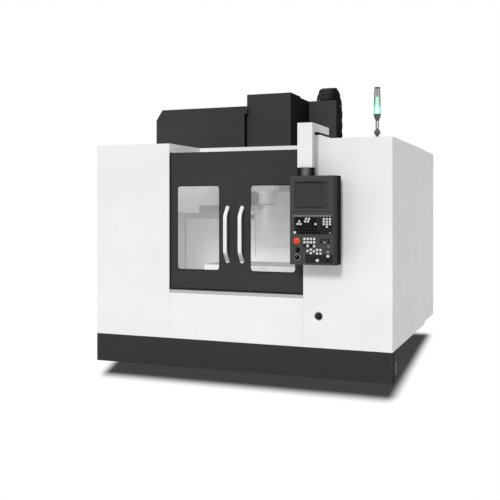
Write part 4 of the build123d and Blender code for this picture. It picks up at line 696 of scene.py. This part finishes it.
def buildKnobDetails():
    front, around = knobSettings["front"], knobSettings["around"]
    for name, knob, inner, outer, base, finish, slotName in knobSettings["rings"]:
        x, z = knobSettings[knob]
        section = [(inner, base - 1), (inner, base + 1.6), (inner + 1, base + 2.4), (outer - 1, base + 2.4),
                   (outer, base + 1.4), (outer, base - 1)]
        put(name, turned(section, around), (x, front, z), facingFront, "pendant", finish, slotName, True)
    x, z = knobSettings["stop"]
    cap = put("stopCap", turned(knobSettings["stopCap"], around), (x, front, z), facingFront, "stop_button",
              "stopRed", "red_plastic")
    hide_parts("stop_button")
    tick = slab(*knobSettings["tickSize"], ((0, -0.5), (0, 0.35)), 3)
    ticks = []
    for knob, radius, count, spread in knobSettings["ticks"]:
        x, z = knobSettings[knob]
        angle = np.radians(90 + np.linspace(-spread, spread, count))
        along = np.stack([np.cos(angle), 0 * angle, np.sin(angle)], -1)
        across = np.stack([-np.sin(angle), 0 * angle, np.cos(angle)], -1)
        out = np.broadcast_to((0.0, -1.0, 0.0), along.shape)
        centres = np.array((x, front, z)) + radius * along
        ticks.append(framed(tick, centres, np.stack([along, across, out], 1)))
    loft("knobTicks", np.concatenate(ticks), "pendant", "screenMark")
    half, corner = knobSettings["markSize"]
    for body, knob, length, tip in knobSettings["marks"]:
        x, z = knobSettings[knob]
        mark = slab(half, length / 2, corner, ((0, -1.0), (0, 0.3)), 3)
        put(body + "Mark", mark, (x, tip, z + length), facingFront, body, "keyLight", "key_plastic")


screenSettings = {
    "centre": (837.0, -243.0, 1686.0),
    "half": (155.7, 124.7),
    "corner": 6.0,
    "bezel": ((-7.0, -2.0), (-7.0, 1.2), (-5.5, 2.0), (0.5, 2.0), (2.5, 0.2), (3.5, -6.5)),
    # name, depth, finish, rows of: first centre, step across and up, half sizes, count
    "marks": (
        ("screenFields", -241.0, "keyDark", ((707.3, 1572.3, 34, 0, 12, 3.0, 8),
                                             (837.0, 1793.7, 0, 0, 140, 5.0, 1))),
        ("screenMarks", -241.3, "screenMark", ((703.3, 1799.7, 34, 0, 11, 1.6, 3),
                                               (903.3, 1799.7, 30, 0, 9, 1.6, 3),
                                               (975.7, 1762.7, 0, -27, 9, 1.8, 6)))),
    "markSteps": ((0, -0.3), (0, 0.25)),
    "markOutline": (12, 6.0),
}


def buildScreenDetails():
    bezel = slab(*screenSettings["half"], screenSettings["corner"], screenSettings["bezel"])
    put("screenBezel", bezel, screenSettings["centre"], facingFront, "pendant", "pendantPaint",
        "charcoal_paint", True)
    outline = roundedOutline(*screenSettings["markOutline"])
    for name, depth, finish, rows in screenSettings["marks"]:
        marks = np.array([(x + stepX * index, z + stepZ * index, halfX, halfZ)
                          for x, z, stepX, stepZ, halfX, halfZ, count in rows
                          for index in range(count)], float)
        centres = np.stack([marks[:, 0], np.full(len(marks), depth), marks[:, 1]], -1)
        rings = stack(centres, marks[:, 2:], screenSettings["markSteps"], facingFront, outline)
        loft(name, rings, "pendant", finish)


# name: shape, centres, facing, body, finish, slot, and True where the levels close on themselves
casePieces = {
    "caseGroove": (slab(175.0, 1.1, 0.5, ((0, -1), (0, 0.3)), 3), (837.0, -243.0, 1535.5), facingFront,
        "pendant", "rubber", "black_plastic"),
    "caseBackPlate": (slab(196.0, 372.0, 14.0, ((0, -2), (0, 1.6), (1.5, 3.0))), (854.0, -83.0, 1457.0),
        facingBack, "pendant", "pendantPaint", "charcoal_paint"),
    "caseScrews": (screwHead(4.5, 2.0), grid((672.0, 854.0, 1036.0), (-80.0,), (1101.0, 1457.0, 1813.0)),
        facingBack, "pendant", "zincPlate", "grey_metal"),
    "caseVents": (slab(70.0, 3.5, 3.0, ((0, -1), (0, 1.2), (1.2, 2.4))),
        grid((854.0,), (-80.0,), 1250.0 + 16.0 * np.arange(7)), facingBack, "pendant", "rubber",
        "black_plastic"),
}

buildKnobDetails()
buildScreenDetails()
putAll(casePieces)
print("stage: operator panel details made")

armSettings = {
    "sides": (699.0, 839.0),
    "front": -208.0,
    "dropBack": -137.0,
    "end": 346.0,
    "heights": (1928.0, 2262.0, 2328.0),    # underside of the drop, of the beam, top
    "bevel": 2.0,
    "foot": (769.0, 187.5, 2200.0),
    "footHalf": (78.0, 167.5),
    "footCorner": 3.0,
    "footTop": 36.0,
    "neckInset": (22.0, 12.0),
    "pin": (769.0, -163.0, 0.0),
    "pinProfile": ((30, 1873), (30, 1929)),
    "drum": ((76.5, 1854), (77.6, 1855), (77.6, 1925), (76.5, 1926)),
}


def buildArm():
    # beam with a drop at its front: one outline in the Y-Z plane, set in at both sides for the edges
    front, back, end = armSettings["front"], armSettings["dropBack"], armSettings["end"]
    low, under, high = armSettings["heights"]
    corners = np.array([(front, low), (front, high), (end, high), (end, under), (back, under), (back, low)])
    inset = np.array([(1, 1), (1, -1), (-1, -1), (-1, 1), (-1, 1), (-1, 1)])
    left, right = armSettings["sides"]
    bevel = armSettings["bevel"]
    rings = [np.c_[np.full(6, x), corners + inset * bevel * share]
             for x, share in ((left, 1.0), (left + bevel, 0.0), (right - bevel, 0.0), (right, 1.0))]
    beam = loft("armBeam", np.array(rings), "root", "armPaint")
    place, top, corner = armSettings["foot"], armSettings["footTop"], armSettings["footCorner"]
    halfX, halfY = armSettings["footHalf"]
    foot = slab(halfX, halfY, corner, ((0, 0), (0, top - 2), (2, top)))
    base = put("armFoot", foot, place, facingUp, "root", "whitePaint", "white_paint")
    insetX, insetY = armSettings["neckInset"]
    neck = slab(halfX - insetX, halfY - insetY, corner, ((0, 1), (0, under - place[2] + 1)))
    collar = put("armNeck", neck, place, facingUp, "root", "rubber", "black_plastic")
    pin = put("armPin", turned(armSettings["pinProfile"], 32), armSettings["pin"], facingUp, "root",
              "turnedSteel", "steel")
    for piece in (beam, base, collar, pin):
        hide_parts("pendant_arm")
    put("drumSleeve", turned(armSettings["drum"], 64), armSettings["pin"], facingUp, "pendant", "drumBlack",
        "black_plastic", True)


buildArm()

handleSettings = {
    "x": 75.0,
    "face": 20.0,
    "low": 1059.0,
    "high": 1565.0,
    "reach": -42.0,
    "turnLow": 1146.0,
    "turnHigh": 1489.0,
    "half": (12.0, 19.0),
    "outline": (28, 3.0),
    "soft": 26.0,
    "foot": ((20.5, 0), (20.5, 3.0), (19.5, 4.0), (15.0, 4.6)),
}


def buildHandles():
    # flat oval bars: out from the door at a slant, straight down and back at a slant
    outline = roundedOutline(*handleSettings["outline"]) * handleSettings["half"]
    face, reach = handleSettings["face"], handleSettings["reach"]
    low, high = handleSettings["low"], handleSettings["high"]
    foot = turned(handleSettings["foot"], 32)
    for side, body in ((-1, "left_door"), (1, "right_door")):
        x = side * handleSettings["x"]
        corners = [(x, face - 1, low), (x, reach, handleSettings["turnLow"]),
                   (x, reach, handleSettings["turnHigh"]), (x, face - 1, high)]
        name = body.replace("_door", "Handle")
        piece = putBar(name, corners, handleSettings["soft"], outline, (1, 0, 0), body, "handleWhite",
                       "handle_white")
        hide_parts(body.replace("door", "handle"))
        put(name + "Feet", foot, [(x, face, low), (x, face, high)], facingFront, body, "handleWhite",
            "handle_white")


gasketSettings = {
    "centre": (384.0, 20.0, 1372.5),
    "half": (222.0, 405.5),
    "corner": 30.0,
    "steps": ((-7.0, -1.0), (-7.0, 1.4), (-5.0, 2.6), (-0.5, 2.6), (1.2, 1.2), (1.2, -1.0)),
}


def buildGaskets():
    # rubber section carried round each window opening
    rings = slab(*gasketSettings["half"], gasketSettings["corner"], gasketSettings["steps"], 9)
    x, y, z = gasketSettings["centre"]
    for side, body in ((-1, "left_door"), (1, "right_door")):
        put(body.replace("_door", "Gasket"), rings, (side * x, y, z), facingFront, body, "rubber",
            "black_plastic", True)


buildHandles()
buildGaskets()

frontPieces = {
    "panelSeams": (slab(1.1, 220.0, 0.4, ((0, -1), (0, 0.25)), 3), grid((-689.0, 689.0), (0.0,), (510.0,)),
        facingFront, "root", "seamGrey", "white_paint"),
    "jambSeals": (slab(2.4, 670.0, 0.8, ((0, -7.5), (0, 6.7), (0.8, 7.5)), 3),
        grid((-686.5, 686.5), (9.0,), (1428.0,)), facingFront, "root", "rubber", "black_plastic"),
    "skirtScrews": (screwHead(9.0, 3.2), grid((-1395.0, -515.0, 515.0, 1395.0), (0.0,), (60.0, 228.0)),
        facingFront, "root", "blackPlastic", "black_plastic"),
    "portRim": (turned(((34.5, -3), (34.5, 1.6), (36.0, 2.6), (40.5, 2.6), (42.0, 1.2), (42.0, -1)), 48),
        (836.0, 0.0, 576.0), facingFront, "root", "zincPlate", "grey_metal", True),
    "portSleeve": (turned(((9.5, -24), (9.5, 1), (11.0, 3), (17.0, 3), (19.0, 1), (19.0, -24)), 32),
        (824.0, 6.0, 591.0), facingFront, "root", "motorPaint", "black_plastic", True),
}

# name: corners, softness of the bends, outline, up, body, finish, slot
frontBars = {
    "portLatch": (((807.0, 3.0, 578.0), (836.0, 3.0, 554.0), (855.0, 3.0, 591.0)), 5.0,
        roundedOutline(16, 4.0) * (3.6, 3.0), (0, -1, 0), "root", "motorPaint", "black_plastic"),
}

coverSettings = {
    "sides": (-1226.0, -186.0),
    "heights": (2200.0, 2631.0),
    "depth": (740.0, 1497.0),
    "slope": (74.0, 109.0),    # how far the top left corner is cut across and down
    "sheet": 3.0,
    "plate": 4.0,
    "edge": 1.5,
    "tab": (-178.5, 743.0, 2591.0),
    "tabSize": (21.0, 40.0, 2.0),
    "tabSteps": ((1, -1.5), (0, -0.5), (0, 0.5), (1, 1.5)),
}


def buildMagazineCover():
    # bent sheet with a sloping corner, closed by a plate at the front and one at the back
    left, right = coverSettings["sides"]
    low, top = coverSettings["heights"]
    across, down = coverSettings["slope"]
    near, far = coverSettings["depth"]
    sheet, plate, edge = coverSettings["sheet"], coverSettings["plate"], coverSettings["edge"]
    outer = np.array([(left, low), (left, top - down), (left + across, top), (right, top), (right, low)])
    inward = np.array([(1, 0), (1, -0.3), (1, -1), (-1, -1), (-1, 0)])
    closed = np.concatenate([outer, (outer + inward * sheet)[::-1]])
    rings = np.stack([np.c_[closed[:, 0], np.full(10, y), closed[:, 1]] for y in (near + edge, far)])
    shell = loft("coverShell", rings, "root", "charcoalPaint")
    bevel = inward * edge + ((0, edge), (0, 0), (0, 0), (0, 0), (0, edge))
    plates = [[np.c_[(outer + bevel * share)[:, 0], np.full(5, y + level), (outer + bevel * share)[:, 1]]
               for level, share in ((0.0, 1.0), (edge, 0.0), (plate - edge, 0.0), (plate, 1.0))]
              for y in (near, far - plate)]
    ends = loft("coverEnds", np.array(plates), "root", "charcoalPaint")
    for piece in (shell, ends):
        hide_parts("magazine_cover")
    put("coverTab", slab(*coverSettings["tabSize"], coverSettings["tabSteps"]), coverSettings["tab"],
        facingFront, "root", "charcoalPaint", "charcoal_paint")


putAll(frontPieces)
putAll(frontBars, putBar)
buildMagazineCover()
print("stage: doors and front made")

lampFoot = (1360.0, 80.0, 0.0)
lampPieces = {
    "lampCore": (turned(((24.0, 2410), (24.0, 2458), (20.0, 2475), (15.0, 2492), (13.5, 2560), (9.0, 2566),
        (9.0, 2640), (6.0, 2644)), 32), lampFoot, facingUp, "lamp", "lampCore", "lamp_plastic"),
    "lampCap": (turned(((24.0, 2644), (25.6, 2646), (25.6, 2650), (22.0, 2652)), 32), lampFoot, facingUp,
        "lamp", "greyPaint", "lamp_plastic"),
    "lampCollar": (turned(((31.5, 2400), (33.3, 2402), (33.3, 2409), (31.5, 2411)), 32), lampFoot, facingUp,
        "lamp", "greyPaint", "lamp_plastic"),
    "lampSleeve": (turned(((14.0, 2280), (14.6, 2281), (14.6, 2344), (14.0, 2346)), 32), lampFoot, facingUp,
        "lamp", "poleSteel", "lamp_plastic"),
    "lampBall": (turned(((36.0, 2200.5), (36.0, 2203.0), (30.0, 2206.0), (15.0, 2209.0), (12.0, 2219.0),
        (17.5, 2223.0), (25.5, 2231.0), (29.0, 2244.0), (26.5, 2257.0), (18.0, 2267.0), (14.5, 2271.0)), 40),
        lampFoot, facingUp, "root", "greyPaint", "lamp_plastic"),
}

lampMade = putAll(lampPieces)
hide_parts("lamp_base")

carrierSettings = {
    "middle": 1795.0,
    "crown": 2660.0,
    "radius": 241.0,
    "ends": (2252.0, 2052.0),
    "sides": (362.0, 525.0),
    "links": 28,
    "linkSize": (38.0, 28.5, 9.0),    # half length, half height, corner
    "plate": 4.0,
    "overlap": 0.4,
    "barHalf": 30.6,
    "barCorner": 4.0,
    "barSteps": ((0, 0), (0, 3.5), (1.2, 4.5)),
    "barOut": 25.0,
}


def carrierRoute(count):
    # middle line by length: up the moving leg, round the half circle, down the fixed leg
    low, end = carrierSettings["ends"]
    crown, radius = carrierSettings["crown"], carrierSettings["radius"]
    leg, bend = crown - low, math.pi * radius
    total = leg + bend + crown - end
    along = (np.arange(count) + 0.5) * total / count
    angle = np.clip((along - leg) / radius, 0, math.pi)
    rise = crown + radius * np.sin(angle) - np.clip(leg - along, 0, None) - np.clip(along - leg - bend, 0, None)
    depth = carrierSettings["middle"] - radius * np.cos(angle)
    zero = 0 * angle
    tangent = np.stack([zero, np.sin(angle), np.cos(angle)], -1)
    outward = np.stack([zero, -np.cos(angle), np.sin(angle)], -1)
    return depth, rise, tangent, outward


def buildCarrier():
    # side plates that overlap by turns, joined by bars on the outer and the inner side of the loop
    count = carrierSettings["links"]
    depth, rise, tangent, outward = carrierRoute(count)
    left, right = carrierSettings["sides"]
    plate = carrierSettings["plate"]
    across = np.broadcast_to((1.0, 0.0, 0.0), tangent.shape)
    link = slab(*carrierSettings["linkSize"], ((1.0, 0), (0, 1.0), (0, plate - 1.0), (1.0, plate)), 6)
    inward = np.where(np.arange(count) % 2, plate + carrierSettings["overlap"], 0.0)
    rings = [framed(link, np.stack([start, depth, rise], -1), np.stack([tangent, outward, across], 1))
             for start in (left + inward, right - plate - inward)]
    sides = loft("carrierLinks", np.concatenate(rings), None, "carrierPlastic")
    bar = slab(carrierSettings["barHalf"], (right - left) / 2 - 2 * plate - 1.0, carrierSettings["barCorner"],
               carrierSettings["barSteps"], 4)
    middle = np.stack([np.full(count, (left + right) / 2), depth, rise], -1)
    rings = [framed(bar, middle + carrierSettings["barOut"] * normal, np.stack([tangent, across, normal], 1))
             for normal in (outward, -outward)]
    bars = loft("carrierBars", np.concatenate(rings), None, "carrierPlastic")
    for piece in (sides, bars):
        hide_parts("cable_carrier")
        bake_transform(piece)


buildCarrier()
print("stage: lamp and cable carrier made")

wayCoverSettings = {
    "heights": (1126.0, 1279.0, 1432.0, 1585.0, 1738.0),
    "half": 236.0,
    "back": 1446.0,
    "step": 3.0,
    "sheet": 2.5,
    "overlap": 22.0,
    "lip": (18.0, 7.0),    # height and depth
}


def buildWayCover():
    # telescoping leaves, each a sheet with a lip folded forward along its lower edge
    heights = np.array(wayCoverSettings["heights"])
    tall, deep = wayCoverSettings["lip"]
    low = heights[:-1]
    high = np.minimum(heights[1:] + wayCoverSettings["overlap"], heights[-1])
    back = wayCoverSettings["back"] - wayCoverSettings["step"] * np.arange(len(low))
    face = back - wayCoverSettings["sheet"]
    depth = np.stack([back, back, face, face, back - deep, back - deep], -1)
    rise = np.stack([low, high, high, low + tall, low + tall, low], -1)
    half = wayCoverSettings["half"]
    ends = [np.stack([np.full(depth.shape, x), depth, rise], -1) for x in (-half, half)]
    cover = loft("wayCover", np.stack(ends, 1), None, "coverSteel")
    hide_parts("z_way_cover")
    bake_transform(cover)


chamberPieces = {
    # strip on the back wall under the magazine guard, darker grey as a painted shade under the guard
    "wallLedge": (slab(340.0, 37.0, 2.0, ((0, -1), (0, 4.0), (1.5, 5.5))), (-900.0, 1497.0, 1473.0),
        facingFront, "root", "guardPaint", "inner_paint"),
    # darker grey strip down the chamber's back left corner
    "cornerSeal": (slab(11.0, 400.0, 2.0, ((0, -1), (0, 3.0), (1.5, 4.5))), (-1238.0, 1497.0, 1110.0),
        facingFront, "root", "guardPaint", "inner_paint"),
    "wallPost": (slab(27.0, 293.0, 4.0, ((0, -1), (0, 12.0), (3.0, 15.0))), (-378.0, 1497.0, 1295.0),
        facingFront, "root", "palePaint", "inner_paint"),
    "wallSensor": (slab(14.0, 22.0, 5.0, ((0, -1), (0, 14.0), (3.0, 18.0))), (-378.0, 1482.0, 1462.0),
        facingFront, "root", "motorPaint", "black_plastic"),
    "noseRing": (turned(((60, 0.3), (60, -6), (63, -8), (81, -8), (84, -6), (84, 0.3)), 64),
        (0.0, 914.0, 1600.0), facingUp, "head", "turnedSteel", "steel", True),
    "coolantNozzles": (turned(((8, -1), (8, 0.4), (5.5, 0.9), (3.0, 1.2), (1.6, 1.2), (1.6, 0.2)), 16),
        np.c_[72.0 * roundedOutline(6, 2.0), np.zeros(6)] + (0.0, 914.0, 1592.0), facingDown, "head",
        "palePaint", "black_plastic"),
    "chamberTube": (slab(13.0, 18.0, 10.0, ((0, 220.0), (0, 640.0)), 6), (-1236.0, 0.0, 1960.0), facingBack,
        "root", "tubeGlow", "lamp_plastic"),
    "chamberTubeCaps": (slab(15.0, 20.0, 11.0, ((1, 0), (0, 1), (0, 16), (1, 17))),
        ((-1235.0, 204.0, 1960.0), (-1235.0, 639.0, 1960.0)), facingBack, "root", "motorPaint",
        "black_plastic"),
}
buildWayCover()
putAll(chamberPieces)
print("stage: work chamber details made")

cabinetPieces = {
    "cabinetHinges": (turned(((5.2, -45), (6.3, -44), (6.3, -15.5), (5.6, -15), (5.6, -14.5), (6.3, -14),
        (6.3, 14), (5.6, 14.5), (5.6, 15), (6.3, 15.5), (6.3, 44), (5.2, 45)), 20),
        grid((1506.0,), (2492.0,), (480.0, 1254.0, 2030.0)), facingUp, "root", "zincPlate", "grey_metal"),
    "hingeLeaves": (slab(13.0, 40.0, 3.0, ((0, -0.5), (0, 1.8), (0.8, 2.6))),
        grid((1486.0,), (2487.0,), (480.0, 1254.0, 2030.0)), facingBack, "cabinet_door", "zincPlate",
        "grey_metal"),
    "lockPlate": (slab(15.0, 74.0, 12.0, ((0, -0.5), (0, 4.0), (2.0, 6.0))), (914.0, 2487.0, 1254.0),
        facingBack, "cabinet_door", "blackPlastic", "black_plastic"),
    "isolatorPlate": (slab(46.0, 46.0, 5.0, ((0, -0.5), (0, 2.4), (1, 3.4))), (960.0, 2487.0, 1500.0),
        facingBack, "cabinet_door", "signYellow", "black_plastic"),
}

panelPieces = {
    "rearScrews": (screwHead(8.0, 3.0), np.concatenate([
        grid(np.linspace(-1480, -560, 5), (1820.0,), (340.0, 2172.0)),
        grid((-1480,), (1820.0,), np.linspace(706, 1806, 4)),
        grid(np.linspace(590, 850, 2), (1820.0,), (340.0, 2172.0)),
    ]), facingBack, "root", "zincPlate", "grey_metal"),
    "roofScrews": (screwHead(7.0, 2.6), np.concatenate([
        grid((-1490.0, 1490.0), np.linspace(40, 1780, 7), (2200.0,)),
        grid((-1130.0, -740.0, 740.0, 1130.0), (26.0,), (2200.0,)),
        grid(np.linspace(-1100, -400, 3), (1796.0,), (2200.0,)),
    ]), facingUp, "root", "zincPlate", "grey_metal"),
}

lidSteps = ((0, -1), (0, 3.0), (2.0, 5.0))
tankPieces = {
    "tankLid0": (slab(150.0, 270.0, 12.0, lidSteps), (-800.0, 2150.0, 295.0), facingUp, "root", "greyPaint",
        "grey_metal"),
    "tankLid1": (slab(140.0, 115.0, 12.0, lidSteps), (-1280.0, 1990.0, 295.0), facingUp, "root", "greyPaint",
        "grey_metal"),
    "pumpFins": (turned(((62.4, 0), (64.8, 1.5), (64.8, 4.5), (62.4, 6)), 40),
        grid((-1263.0, -1033.0), (2290.0,), 350.0 + 16.0 * np.arange(11)), facingUp, "root", "motorPaint",
        "motor_black"),
    "pumpBoxes": (slab(26.0, 34.0, 6.0, ((0, -6), (0, 26.0), (3.0, 29.0))),
        ((-1263.0, 2350.0, 470.0), (-1033.0, 2350.0, 470.0)), facingBack, "root", "motorPaint", "motor_black"),
    "levelGauge": (slab(11.0, 70.0, 9.0, ((0, -1), (0, 6.0), (2.0, 8.0))), (-760.0, 2460.0, 170.0), facingBack,
        "root", "palePaint", "lamp_plastic"),
}

backBars = {
    "lockLever": (((914.0, 2492.0, 1294.0), (914.0, 2509.0, 1288.0), (914.0, 2513.0, 1200.0)), 8.0,
        roundedOutline(20, 4.0) * (5.0, 10.0), (1, 0, 0), "cabinet_door", "blackPlastic", "black_plastic"),
    "tankGrip0": (((-855, 2150, 299), (-855, 2150, 333), (-745, 2150, 333), (-745, 2150, 299)), 12.0,
        circle(5.0, 16), (0, 1, 0), "root", "chromed", "chrome"),
    "tankGrip1": (((-1335, 1990, 299), (-1335, 1990, 333), (-1225, 1990, 333), (-1225, 1990, 299)), 12.0,
        circle(5.0, 16), (0, 1, 0), "root", "chromed", "chrome"),
    "coolantPipe": (((-1148.0, 2290.0, 293.0), (-1148.0, 2290.0, 520.0), (-1148.0, 1822.0, 520.0)), 60.0,
        circle(19.0, 24), (1, 0, 0), "root", "zincPlate", "steel", 10),
}

flangeSettings = {
    "profile": ((38, -1), (38, 9), (36, 11), (21, 11), (20, 15)),
    "places": (((-1148.0, 2290.0, 295.0), facingUp), ((-1148.0, 1820.0, 520.0), facingBack)),
}


def buildPipeFlanges():
    flange = turned(flangeSettings["profile"], 32)
    flanges = [framed(flange, centre, facing) for centre, facing in flangeSettings["places"]]
    loft("pipeFlanges", np.concatenate(flanges), "root", "zincPlate")


for group in (cabinetPieces, panelPieces, tankPieces):
    putAll(group)
putAll(backBars, putBar)
buildPipeFlanges()
print("stage: back details made")
